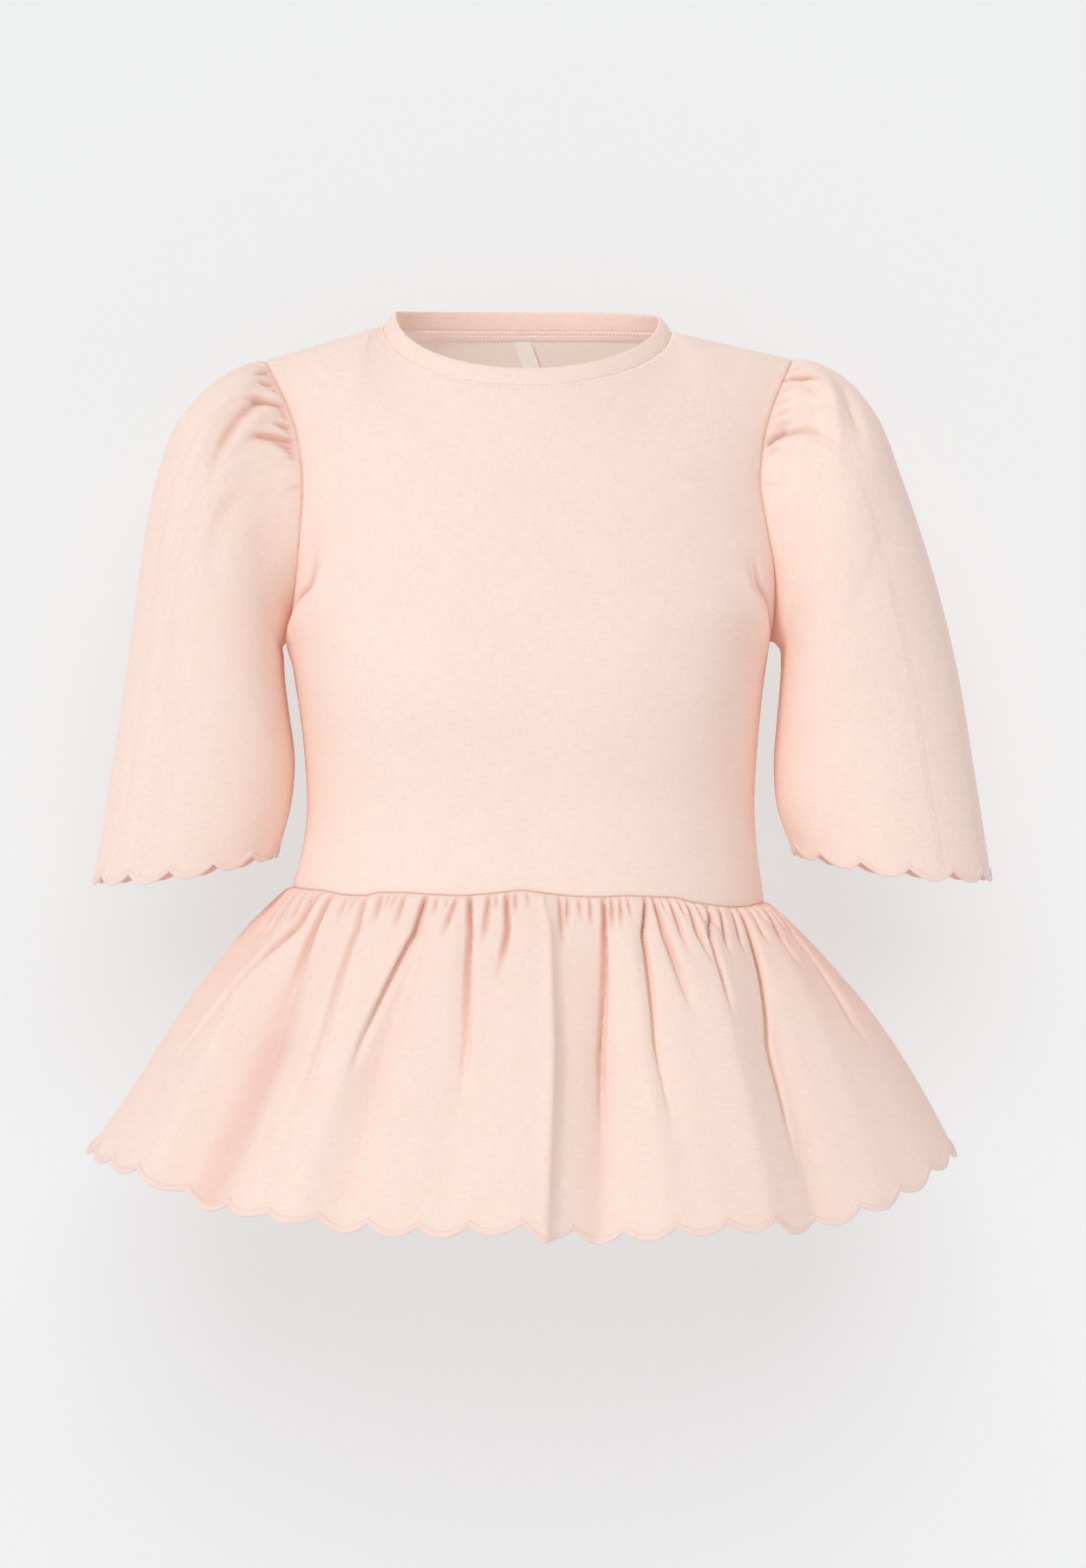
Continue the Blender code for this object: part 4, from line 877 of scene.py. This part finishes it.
def fold_lift(across, down, folds):
    """How far the large folds stand out, in metres [row, column]: straight from each crest to the next
    valley, at the places and heights that the lines have in that row, and softened along it."""
    places = [folds[name] for name in ("waist", "upper", "middle", "hem")]
    rises = [0 * folds["hem_rise"]] + [folds[name + "_rise"] for name in ("upper", "middle", "hem")]
    spots, heights = (np.stack([np.interp(down, FOLD_PLACES_DOWN, line) for line in np.array(lines).T], axis=1)
                      for lines in (places, rises))
    rows = [np.interp(across[r], spots[r], heights[r] * MM) for r in range(len(down))]
    return softened(np.stack(rows), FOLD_SOFTNESS)


def peplum(side, waist, waist_wall):
    """Outer points and wall directions of half the peplum [row, column, 3], and how deep each lies in shade.

    Rows run from the hem up to the waist, and one more is tucked under the seam.

    It hangs from the waist's edge to a ring of half ellipses, cut to the same depth all round, so it hangs
    highest where it spreads most. It spreads fastest just below the seam. Gathers start in the seam and
    melt into the large folds, and the hem is cut in scallops."""
    front = side == "front"
    count = PEPLUM_SCALLOPS_A_HALF * PEPLUM_COLUMNS_A_SCALLOP
    shares = np.linspace(0, 1, count + 1)
    top = along(waist, waist, shares)
    wall_way = unit(along(waist, waist_wall, shares))
    angle = np.linspace(-np.pi / 2, np.pi / 2, 800)
    middle = (HEM["left"] + HEM["right"]) / 2
    half = (HEM["right"] - HEM["left"]) / 2
    sign = 1 if front else -1
    depth = -HEM["front"] if front else HEM["back"]
    ring = np.stack([middle + sign * half * np.sin(angle), depth * np.cos(angle)], axis=-1)
    hem = along(ring, ring, shares)
    reach = np.linalg.norm(hem - top[:, :2], axis=1)
    place = (hem[:, 0] - middle) / half
    lift_up = PEPLUM_LEFT_SIDE_LIFT * rise((place - 0.6) / 0.4)
    lift_up = lift_up + PEPLUM_TIP_LIFT * rise((place - 0.82) / 0.18)
    lift_up = lift_up + PEPLUM_RIGHT_SIDE_LIFT * rise((-place - 0.45) / 0.35)
    drop = np.sqrt((PEPLUM_CUT_DEPTH - lift_up) ** 2 - reach ** 2)
    v = peplum_places_down()[::-1, None]
    spread = v + 0.58 * v * (1 - v) ** 2 + (0.16 + 0.19 * place) * v * v * (1 - v)
    grid = np.stack([mix(top[:, 0], hem[:, 0], spread), mix(top[:, 1], hem[:, 1], spread),
                     top[:, 2] - drop * v], axis=-1)
    normal = outward(grid)
    half_width = mix(WAIST_HALF_WIDTH, half, spread)
    across = (grid[..., 0] - middle * v) / half_width
    lift = fold_lift(across, v[:, 0], FRONT_FOLDS if front else BACK_FOLDS)
    grid = grid + normal * lift[..., None]
    drops = FRONT_HEM_DROPS if front else BACK_HEM_DROPS
    for k in range(len(drops["drop"])):
        near = bell((across - drops["place"][k]) / drops["wide"][k]) * rise((v - 0.75) / 0.25)
        grid[..., 2] -= drops["drop"][k] * MM * near
    normal = outward(grid)
    rows_table = FRONT_CREASES if front else BACK_CREASES
    fine = creases(2 * shares - 1, v[:, 0], row_lengths(grid) / 2, CREASE_PLACES_DOWN, rows_table)
    fine *= PEPLUM_CREASE_DEPTH
    puff = PEPLUM_PUFF * rise(v / 0.025) * rise((0.30 - v) / 0.28)
    ends = rise((1 - np.abs(2 * shares - 1)) / 0.012)
    held = rise(v * PEPLUM_CUT_DEPTH / SEAM_HOLD)
    grid = grid + normal * ((fine * held + puff) * ends)[..., None]
    grid[-1] -= wall_way * SEAM_DEPTH
    scallop = np.abs(np.sin(np.pi * PEPLUM_SCALLOPS_A_HALF * shares)) ** SCALLOP_ROUNDNESS
    grid = scalloped(grid, scallop, HEM_EDGE_STEPS)
    wall = outward(grid)
    wall[-1] = wall_way
    wall[:, [0, -1]] *= np.array([1.0, 0.0, 1.0])
    tucked = grid[-1] - wall_way * SEAM_DEPTH / 2 + np.array([0.0, 0.0, SEAM_ALLOWANCE])
    shade = in_shade(fine * held, v[:, 0] * PEPLUM_CUT_DEPTH)
    # Painted shade in the deep valleys of the large folds
    least, most = FOLD_SHADE_DEPTHS
    shade[:-1] = np.maximum(shade[:-1], FOLD_SHADE * np.clip((-lift - least) / (most - least), 0, 1))
    return np.concatenate([grid, tucked[None]]), unit(np.concatenate([wall, wall_way[None]])), shade


def neckband(front, back, directions):
    """The band as points [round its section, round the neck, 3].

    Its section is a tall rounded strip, half width * sign(sin a) |sin a|^0.5 across and half height *
    sign(cos a) |cos a|^0.5 up, on the neck seam, and it leans in as it rises."""
    first = FIRST_NECK_COLUMN
    last = first + NECK_COLUMNS
    seam = np.concatenate([front[-1, first:last], back[-1, first:last]])
    wall_way = np.concatenate([directions[0][-1, first:last], directions[1][-1, first:last]])
    inwards = unit((seam.mean(axis=0) - seam) * np.array([1.0, 1.0, 0.0]))
    upright = np.array([0.0, 0.0, 1.0])
    forward = np.clip(-seam[:, 1:2] / 0.084, 0, 1)
    behind = np.clip(seam[:, 1:2] / 0.057, 0, 1)
    lean = 0.72 - 0.25 * forward - 0.62 * behind
    rise_way = unit(upright + inwards * lean / np.sqrt(1 - 0.5 * lean ** 2))
    across_way = unit(np.cross(np.roll(seam, -1, axis=0) - np.roll(seam, 1, axis=0), rise_way))
    a = np.arange(28) * 2 * np.pi / 28
    up = (1 + np.sign(np.cos(a)) * np.abs(np.cos(a)) ** 0.4) / 2
    out = np.sign(np.sin(a)) * np.abs(np.sin(a)) ** 0.6
    height = NECKBAND_HEIGHT + SEAM_GAP
    bulge = 0.0004 * np.sin(np.pi * up)
    centre = seam[None] - wall_way[None] * JERSEY * 0.4 + rise_way[None] * (height * up)[:, None, None]
    thick = BAND_CLOTH / 2 * mix(0.75, 1.0, rise(up / 0.3)) * out + bulge * (out > 0)
    return centre + across_way[None] * thick[:, None, None]


def squares(ids, over=False):
    """Corners of the squares between neighbouring rows and columns of a grid of point numbers; over turns
    their faces over."""
    corners = (ids[:-1, :-1], ids[:-1, 1:], ids[1:, 1:], ids[1:, :-1])
    quads = np.stack(corners, axis=-1).reshape(-1, 4)
    return quads[:, [0, 3, 2, 1]] if over else quads


garment = bpy.data.collections.new("garment")


def placed(name, mesh, sharp, material):
    """The finished piece: smooth but for edges sharper than `sharp` degrees, riding the body."""
    mesh.shade_smooth()
    mesh.set_sharp_from_angle(angle=np.radians(sharp))
    mesh.materials.append(material)
    piece = bpy.data.objects.new(name, mesh)
    bpy.context.scene.collection.objects.link(piece)
    garment.objects.link(piece)
    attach(piece, "root")
    return piece


def make(name, points, faces, uvs, sharp, material, marks):
    """A smooth mesh from points, faces, one place on the cloth for each corner, and a mark for each point."""
    mesh = bpy.data.meshes.new(name)
    mesh.from_pydata(points.tolist(), [], faces)
    layer = mesh.uv_layers.new(name="cloth")
    layer.data.foreach_set("uv", uvs.reshape(-1).astype(np.float32))
    for mark_name, values in marks.items():
        mark = mesh.attributes.new(mark_name, "FLOAT", "POINT")
        mark.data.foreach_set("value", values.astype(np.float32))
    return placed(name, mesh, sharp, material)


def cloth(name, outer, inner, ring, material, shade=None):
    """One closed wall of cloth: outer(row, column) and inner(row, column), joined along their rims.

    The cloth's own places are metres along its longest row and down its middle column. shade(row, column)
    gives its painted shade, from 0 to 1, deep in creases, beside seams and in armpits."""
    rows, columns = outer.shape[:2]
    wide = columns + 1 if ring else columns
    closed = np.concatenate([outer, outer[:, :1]], axis=1) if ring else outer
    u = lengths(closed[int(np.argmax(row_lengths(closed)))])
    v = lengths(closed[:, wide // 2])
    face_uv = np.stack(np.broadcast_arrays(u[None, :], v[:, None]), axis=-1)
    ids = np.arange(rows * wide).reshape(rows, wide)
    point_of = ids // wide * columns + ids % wide % columns
    under_ids = ids + rows * wide
    corner_points = np.concatenate([point_of.ravel(), point_of.ravel() + rows * columns])
    corner_uv = np.concatenate([face_uv.reshape(-1, 2), face_uv.reshape(-1, 2)])

    def strip(a, b, c, d):
        return np.stack([a, b, c, d], axis=-1).reshape(-1, 4)

    faces = [squares(ids), squares(under_ids, over=True),
             strip(ids[0, :-1], under_ids[0, :-1], under_ids[0, 1:], ids[0, 1:]),
             strip(ids[-1, :-1], ids[-1, 1:], under_ids[-1, 1:], under_ids[-1, :-1])]
    if not ring:
        faces.append(strip(ids[1:, 0], under_ids[1:, 0], under_ids[:-1, 0], ids[:-1, 0]))
        faces.append(strip(ids[:-1, -1], under_ids[:-1, -1], under_ids[1:, -1], ids[1:, -1]))
    corners = np.concatenate(faces)
    points = np.concatenate([outer.reshape(-1, 3), inner.reshape(-1, 3)])
    shade = np.zeros((rows, columns)) if shade is None else shade
    marks = dict(inside=np.repeat([0.0, 1.0], rows * columns),
                 shade=np.concatenate([shade.ravel(), 0 * shade.ravel()]))
    return make(name, points, corner_points[corners].tolist(), corner_uv[corners], 55, material, marks)


def tube(name, rings, closed, material):
    """A closed tube [round the section, along, 3]; if it isn't closed along, its ends are closed by one face
    each.
    """
    around, count = rings.shape[:2]
    wide = count + 1 if closed else count
    ids = np.arange(around * count).reshape(around, count)
    ids = np.concatenate([ids, ids[:1]], axis=0)
    if closed:
        ids = np.concatenate([ids, ids[:, :1]], axis=1)
    path = rings.mean(axis=0)
    path = np.concatenate([path, path[:1]]) if closed else path
    section_path = np.concatenate([rings[:, 0], rings[:1, 0]])
    uv_grid = np.stack(np.broadcast_arrays(lengths(path)[None, :], lengths(section_path)[:, None]), axis=-1)
    uv_ids = np.arange((around + 1) * wide).reshape(around + 1, wide)
    faces = squares(ids).tolist()
    uvs = uv_grid.reshape(-1, 2)[squares(uv_ids)].reshape(-1, 2)
    if not closed:
        faces += [ids[:-1, 0].tolist()[::-1], ids[:-1, -1].tolist()]
        uvs = np.concatenate([uvs, np.zeros((2 * around, 2))])
    return make(name, rings.reshape(-1, 3), faces, uvs, 70, material, {})


def knot(band_points, material):
    """Two small stitches that cross, on the inner side of the back of the neckband."""
    spots = band_points.reshape(-1, 3)
    spots = spots[spots[:, 1] > 0]
    near = spots[np.argsort((spots[:, 0] - KNOT_PLACE[0]) ** 2 + (spots[:, 2] - KNOT_PLACE[1]) ** 2)[:4]]
    spot = near[np.argmin(near[:, 1])] + np.array([0.0, -0.0002, 0.0])
    ways = unit(np.array([[0.8, 0.0, 1.0], [-1.0, 0.0, 0.7]]))
    out = np.array([[0.0, -1.0, 0.0], [0.0, -1.0, 0.0]])
    return stitches("neckband_knot", np.stack([spot, spot]), ways, out, KNOT_STITCH_SIZE, material)


def edging(name, grid, wall, ring, material):
    """The satin stitching over a scalloped edge: a flat rounded bead that wraps the cloth's edge.

    Its section is edge + up * (h - 0.3 mm) + out * half thickness * sign(sin a) |sin a|^0.6, with
    h = width * (1 + sign(cos a) |cos a|^0.5) / 2 and up the cloth's own direction at the hem."""
    edge = grid[0]
    up = unit(grid[4] - grid[0])
    out = wall[2]
    a = np.arange(14) * 2 * np.pi / 14
    height = EDGING_WIDTH * (1 + np.sign(np.cos(a)) * np.abs(np.cos(a)) ** 0.5) / 2 - 0.0003
    across = np.sign(np.sin(a)) * np.abs(np.sin(a)) ** 0.6 * EDGING_THICKNESS / 2
    centre = edge - out * WOVEN / 2
    rings = (centre[None] + up[None] * height[:, None, None] + out[None] * across[:, None, None])
    return tube(name, rings, ring, material)


def stitches(name, centres, along_way, out_way, size, material):
    """A row of stitches in one mesh, each a small egg of a size along the seam, across it and out of it."""
    sides = 8
    rings = 6
    length, width, height = size
    turn = np.arange(sides) * 2 * np.pi / sides
    climb = np.linspace(0.08, np.pi - 0.08, rings)
    x = np.cos(climb)[:, None] * np.ones(sides)[None]
    y = np.sin(climb)[:, None] * np.cos(turn)[None]
    z = np.sin(climb)[:, None] * np.sin(turn)[None]
    across_way = unit(np.cross(out_way, along_way))
    eggs = (centres[:, None, None] + along_way[:, None, None] * (x * length / 2)[None, ..., None]
            + across_way[:, None, None] * (y * width / 2)[None, ..., None]
            + out_way[:, None, None] * (z * height / 2)[None, ..., None])
    ids = np.arange(rings * sides).reshape(rings, sides)
    start = np.arange(len(centres))[:, None, None] * ids.size
    quads = squares(np.concatenate([ids, ids[:, :1]], axis=1), over=True)
    faces = (quads[None] + start).reshape(-1, 4).tolist()
    for cap in (ids[0], ids[-1, ::-1]):
        faces += (cap[None] + start[:, 0]).tolist()
    mesh = bpy.data.meshes.new(name)
    mesh.from_pydata(eggs.reshape(-1, 3).tolist(), [], faces)
    return placed(name, mesh, 80, material)


def sewing_row(name, grid, way, below, above, material):
    """Stitches along the top edge of a grid, `below` it and `above` the cloth."""
    edge = grid[-1]
    down = unit(grid[-8] - grid[-1])
    path = edge + down * below + way[-1] * above
    count = int(lengths(path)[-1] / STITCH_SPACING)
    shares = (np.arange(count) + 0.5) / count
    centres = along(path, path, shares)
    along_way = unit(along(path, np.gradient(path, axis=0), shares))
    out_way = unit(along(path, way[-1], shares))
    return stitches(name, centres, along_way, out_way, STITCH_SIZE, material)


class Value:
    """One number that a material works out at each point; + - and * join such numbers."""

    def __init__(self, material, socket):
        self.material = material
        self.socket = socket

    def combine(self, operation, *values):
        made = self.material.node("ShaderNodeMath", dict(operation=operation), dict(enumerate(values)))
        return made.value(0)

    def __add__(self, other):
        return self.combine("ADD", self, other)

    def __radd__(self, other):
        return self.combine("ADD", other, self)

    def __sub__(self, other):
        return self.combine("SUBTRACT", self, other)

    def __rsub__(self, other):
        return self.combine("SUBTRACT", other, self)

    def __mul__(self, other):
        return self.combine("MULTIPLY", self, other)

    def __rmul__(self, other):
        return self.combine("MULTIPLY", other, self)

    def sin(self):
        return self.combine("SINE", self)

    def size(self):
        return self.combine("ABSOLUTE", self)


class Node:
    """A node of a material, whose outputs are read as values or plain sockets."""

    def __init__(self, material, node):
        self.material = material
        self.node = node

    def value(self, name):
        return Value(self.material, self.node.outputs[name])

    def socket(self, name):
        return self.node.outputs[name]


class Surface:
    """A material and its nodes."""

    def __init__(self, name):
        self.material = bpy.data.materials.new(name)
        self.material.use_nodes = True
        self.tree = self.material.node_tree
        self.shader = self.tree.nodes["Principled BSDF"]

    def put(self, target, value):
        """Sets an input to a constant, or links what a node gives to it."""
        if isinstance(value, Value):
            self.tree.links.new(value.socket, target)
        elif isinstance(value, bpy.types.NodeSocket):
            self.tree.links.new(value, target)
        else:
            target.default_value = value

    def node(self, kind, settings=None, inputs=None):
        """Adds a node with its settings and inputs."""
        made = self.tree.nodes.new(kind)
        for name, value in (settings or {}).items():
            setattr(made, name, value)
        for name, value in (inputs or {}).items():
            self.put(made.inputs[name], value)
        return Node(self, made)

    def set(self, **inputs):
        """Sets inputs of the main shader, names with _ for spaces."""
        for name, value in inputs.items():
            self.put(self.shader.inputs[name.replace("_", " ")], value)

    def cloth_place(self):
        """The place on the cloth, in metres across and along it."""
        uv = self.node("ShaderNodeUVMap", dict(uv_map="cloth"))
        parts = self.node("ShaderNodeSeparateXYZ", {}, {0: uv.socket("UV")})
        return parts.value("X"), parts.value("Y")

    def noise(self, place, scale, detail=2.0):
        """Smooth noise from 0 to 1 at a place."""
        return self.node("ShaderNodeTexNoise", {}, {"Vector": place, "Scale": scale, "Detail": detail}).value(0)

    def vector(self, x, y):
        """A place from two numbers."""
        return self.node("ShaderNodeCombineXYZ", {}, {0: x, 1: y}).socket(0)

    def blend(self, factor, a, b):
        """A colour between a and b."""
        made = self.node("ShaderNodeMix", dict(data_type="RGBA"), {0: factor})
        sockets = [s for s in made.node.inputs if s.type == "RGBA"]
        self.put(sockets[0], (*a, 1.0) if isinstance(a, tuple) else a)
        self.put(sockets[1], (*b, 1.0) if isinstance(b, tuple) else b)
        return [s for s in made.node.outputs if s.type == "RGBA"][0]

    def bump(self, height, strength, distance):
        """A normal from a height in metres."""
        made = self.node("ShaderNodeBump", {}, {"Height": height, "Strength": strength, "Distance": distance})
        return made.socket("Normal")


def stretched_noise(surface, u, v, across, along_way, detail=2.0):
    """Noise whose grains are `across` metres wide and `along_way` metres long on the cloth."""
    return surface.noise(surface.vector(u * (1 / across), v * (1 / along_way)), 1.0, detail)


def fabric(name, light, dark, inside, outer_glow, glow, ribs, rib_strength, sheen):
    """A matt cloth: threads or knitted ribs as a fine bump, thicker and thinner threads as long grains both
    ways, faint cloudy unevenness of colour, painted shade in creases, seams and armpits, and an inside of its
    own colour. A painted glow on both sides stands in for the light that comes through the cloth."""
    surface = Surface(name)
    u, v = surface.cloth_place()
    weft = stretched_noise(surface, u, v, 0.009, 0.0011)
    warp = stretched_noise(surface, u, v, 0.0011, 0.009)
    cloud = stretched_noise(surface, u, v, 0.03, 0.03, 3.0)
    tone = (weft + warp - 1.0) * 2.6 + cloud
    colour = surface.blend(tone, dark, light)
    inner = surface.node("ShaderNodeAttribute", dict(attribute_name="inside"))
    # Painted shade: the colour turns towards a deeper pink where the shade mark says the cloth lies in a
    # crease, a seam or an armpit
    deep = surface.node("ShaderNodeAttribute", dict(attribute_name="shade"))
    colour = surface.blend(deep.value("Fac") * 0.65, colour, PAINTED_SHADE_COLOUR)
    colour = surface.blend(inner.value("Fac"), colour, inside)
    # Painted glow: a faint constant emission on the outside and the inside, standing in for the light that
    # comes through the cloth
    light_through = surface.blend(inner.value("Fac"), outer_glow, glow)
    surface.set(Emission_Color=light_through, Emission_Strength=1.0)
    threads = (u * (2 * np.pi / ribs[0])).sin() + (v * (2 * np.pi / ribs[1])).sin()
    height = threads * 0.08 + (weft + warp) * 1.2
    surface.set(Base_Color=colour, Roughness=0.85, Normal=surface.bump(height, rib_strength, 0.0004))
    surface.set(Sheen_Weight=sheen, Sheen_Roughness=0.5, Specular_IOR_Level=0.25)
    return surface.material


def thread(name, light, dark):
    """Glossy thread laid side by side: ridges across the row, and slightly darker painted shade between them.
    """
    surface = Surface(name)
    u, v = surface.cloth_place()
    ridge = (u * (np.pi / THREAD_PITCH)).sin().size()
    wander = stretched_noise(surface, u, v, THREAD_PITCH, 0.004)
    # Painted shade: the colour is darker in the grooves between the ridges
    colour = surface.blend(ridge * 0.7 + wander * 0.3, dark, light)
    surface.set(Base_Color=colour, Roughness=0.55, Normal=surface.bump(ridge, 0.5, 0.0003))
    surface.set(Sheen_Weight=0.1, Specular_IOR_Level=0.4)
    return surface.material


def build_stage():
    """A pale sheet behind the top that curves into a floor and is seen only from its front, and soft light."""
    surface = Surface("pale_sheet")
    surface.set(Base_Color=(0.36, 0.37, 0.375, 1.0), Roughness=0.9)
    surface.set(Emission_Color=(1.0, 1.0, 1.0, 1.0), Emission_Strength=0.495)
    behind = surface.node("ShaderNodeNewGeometry")
    clear = surface.node("ShaderNodeBsdfTransparent")
    both = surface.node("ShaderNodeMixShader", {}, {0: behind.value("Backfacing"),
                                                    1: surface.shader.outputs["BSDF"],
                                                    2: clear.socket("BSDF")})
    surface.put(surface.tree.nodes["Material Output"].inputs["Surface"], both.socket(0))
    back_y = 0.200
    floor_z = -1.35
    bend = 0.35
    top = 20.0
    far = 30.0
    turn = np.linspace(0, np.pi / 2, 24)
    curve = np.stack([back_y - bend * (1 - np.cos(turn)), floor_z + bend * (1 - np.sin(turn))], axis=-1)
    profile = np.concatenate([[[back_y, top]], curve, [[-far, floor_z]]])
    points = np.stack([np.insert(profile, 0, side, axis=1) for side in (-far, far)], axis=1)
    ids = np.arange(2 * len(profile)).reshape(-1, 2)
    mesh = bpy.data.meshes.new("pale_sheet")
    mesh.from_pydata(points.reshape(-1, 3).tolist(), [], squares(ids)[:, ::-1].tolist())
    mesh.shade_smooth()
    mesh.materials.append(surface.material)
    sheet = bpy.data.objects.new("pale_sheet", mesh)
    bpy.context.scene.collection.objects.link(sheet)
    stage = bpy.data.collections.new("stage")
    stage.objects.link(sheet)

    world = bpy.data.worlds.new("soft_room")
    bpy.context.scene.world = world
    world.use_nodes = True
    world.node_tree.nodes["Background"].inputs["Color"].default_value = (1.0, 0.985, 0.975, 1.0)
    world.node_tree.nodes["Background"].inputs["Strength"].default_value = 0.375
    for name, (aim, spread, power, lit) in SUNS.items():
        light = bpy.data.lights.new(name, "SUN")
        light.angle = np.radians(spread)
        light.energy = power
        lamp = bpy.data.objects.new(name, light)
        flat = np.hypot(aim[0], aim[1])
        lamp.rotation_euler = (np.arctan2(flat, -aim[2]), 0.0, np.arctan2(aim[1], aim[0]) - np.pi / 2)
        lamp.light_linking.receiver_collection = bpy.data.collections[lit]
        bpy.context.scene.collection.objects.link(lamp)


def build():
    """All the pieces."""
    jersey = fabric("jersey_cloth", **JERSEY_LOOK)
    tape_jersey = fabric("tape_cloth", **TAPE_LOOK)
    woven = fabric("woven_cloth", **WOVEN_LOOK)
    satin = thread("edging_thread", **SATIN_LOOK)
    pale = thread("seam_thread", **SEAM_THREAD_LOOK)
    label_cloth = fabric("label_cloth", **LABEL_LOOK)

    front, front_fold = panel("front")
    back, back_fold = panel("back")
    directions = seam_directions(front, back)
    front_shown, front_shade = sewn_in(front, directions[0], front_fold)
    back_shown, back_shade = sewn_in(back, directions[1], back_fold)
    inner_back = back_shown - directions[1] * JERSEY
    front_piece = cloth("bodice_front_cloth", front_shown, front_shown - directions[0] * JERSEY, False, jersey,
                        front_shade)
    back_piece = cloth("bodice_back_cloth", back_shown, inner_back, False, jersey, back_shade)
    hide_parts("bodice_front")
    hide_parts("bodice_back")

    band_points = neckband(front_shown, back_shown, directions)
    band = tube("neckband_cloth", band_points, True, jersey)
    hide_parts("neckband")

    neck_rows = slice(FIRST_NECK_COLUMN, FIRST_NECK_COLUMN + NECK_COLUMNS + 1)
    for side, grid, way in (("front", front_shown, directions[0]), ("back", back_shown, directions[1])):
        sewing_row("neck_stitching_" + side, grid[:, neck_rows], way[:, neck_rows],
                                       NECK_SEWING, 0.0004, pale)
    inside_way = -directions[1][:, neck_rows]
    inside_back = inner_back[:, neck_rows]
    inner_rows = [sewing_row("inner_stitching_upper", inside_back, inside_way, 0.0008, 0.0014, pale),
                  sewing_row("inner_stitching_lower", inside_back, inside_way, 0.0040, 0.0012, pale)]
    knot_piece = knot(band_points, pale)

    first = FIRST_NECK_COLUMN + 1
    last = FIRST_NECK_COLUMN + NECK_COLUMNS
    strip = slice(-9, None)
    strip_way = directions[1][strip, first:last]
    tape_out = inner_back[strip, first:last] - strip_way * SEAM_GAP
    tape = cloth("neck_tape_cloth", tape_out, tape_out - strip_way * TAPE_CLOTH, False, tape_jersey)
    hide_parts("neck_tape")

    middle = (last - first) // 2
    hang = unit(inner_back[-18, first + middle] - inner_back[-10, first + middle])
    face = directions[1][-10, first + middle]
    across = unit(np.cross(face, hang))
    top = tape_out[0, middle] + hang * SEAM_GAP * 2 - face * 0.0014
    top = top + across * (LABEL_X - top[0]) * np.sign(across[0])
    down = np.linspace(1, 0, 16)[:, None, None]
    width = np.linspace(-0.5, 0.5, 7)[None, :, None] * LABEL_WIDTH * across
    fall = hang * LABEL_LENGTH + np.array([LABEL_LEAN, 0, 0])
    label_out = top + width + down * fall - face * LABEL_BOW * down ** 2
    label = cloth("neck_label_cloth", label_out, label_out - face * LABEL_CLOTH, False, label_cloth)
    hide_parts("neck_label")

    for wearer in ("right", "left"):
        grid, wall, shade = sleeve(front_shown, back_shown, directions, wearer)
        piece = cloth("sleeve_" + wearer + "_cloth", grid, grid - wall * WOVEN, True, woven, shade)
        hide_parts("sleeve_" + wearer)
        sewn_edge = edging("sleeve_" + wearer + "_edging", grid, wall, True, satin)

    for side, bodice, wall_way in (("front", front_shown, directions[0]), ("back", back_shown, directions[1])):
        grid, wall, shade = peplum(side, bodice[0], wall_way[0])
        piece = cloth("peplum_" + side + "_cloth", grid, grid - wall * WOVEN, False, woven, shade)
        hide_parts("peplum_" + side)
        sewn_edge = edging("peplum_" + side + "_edging", grid, wall, False, satin)


build_stage()
build()
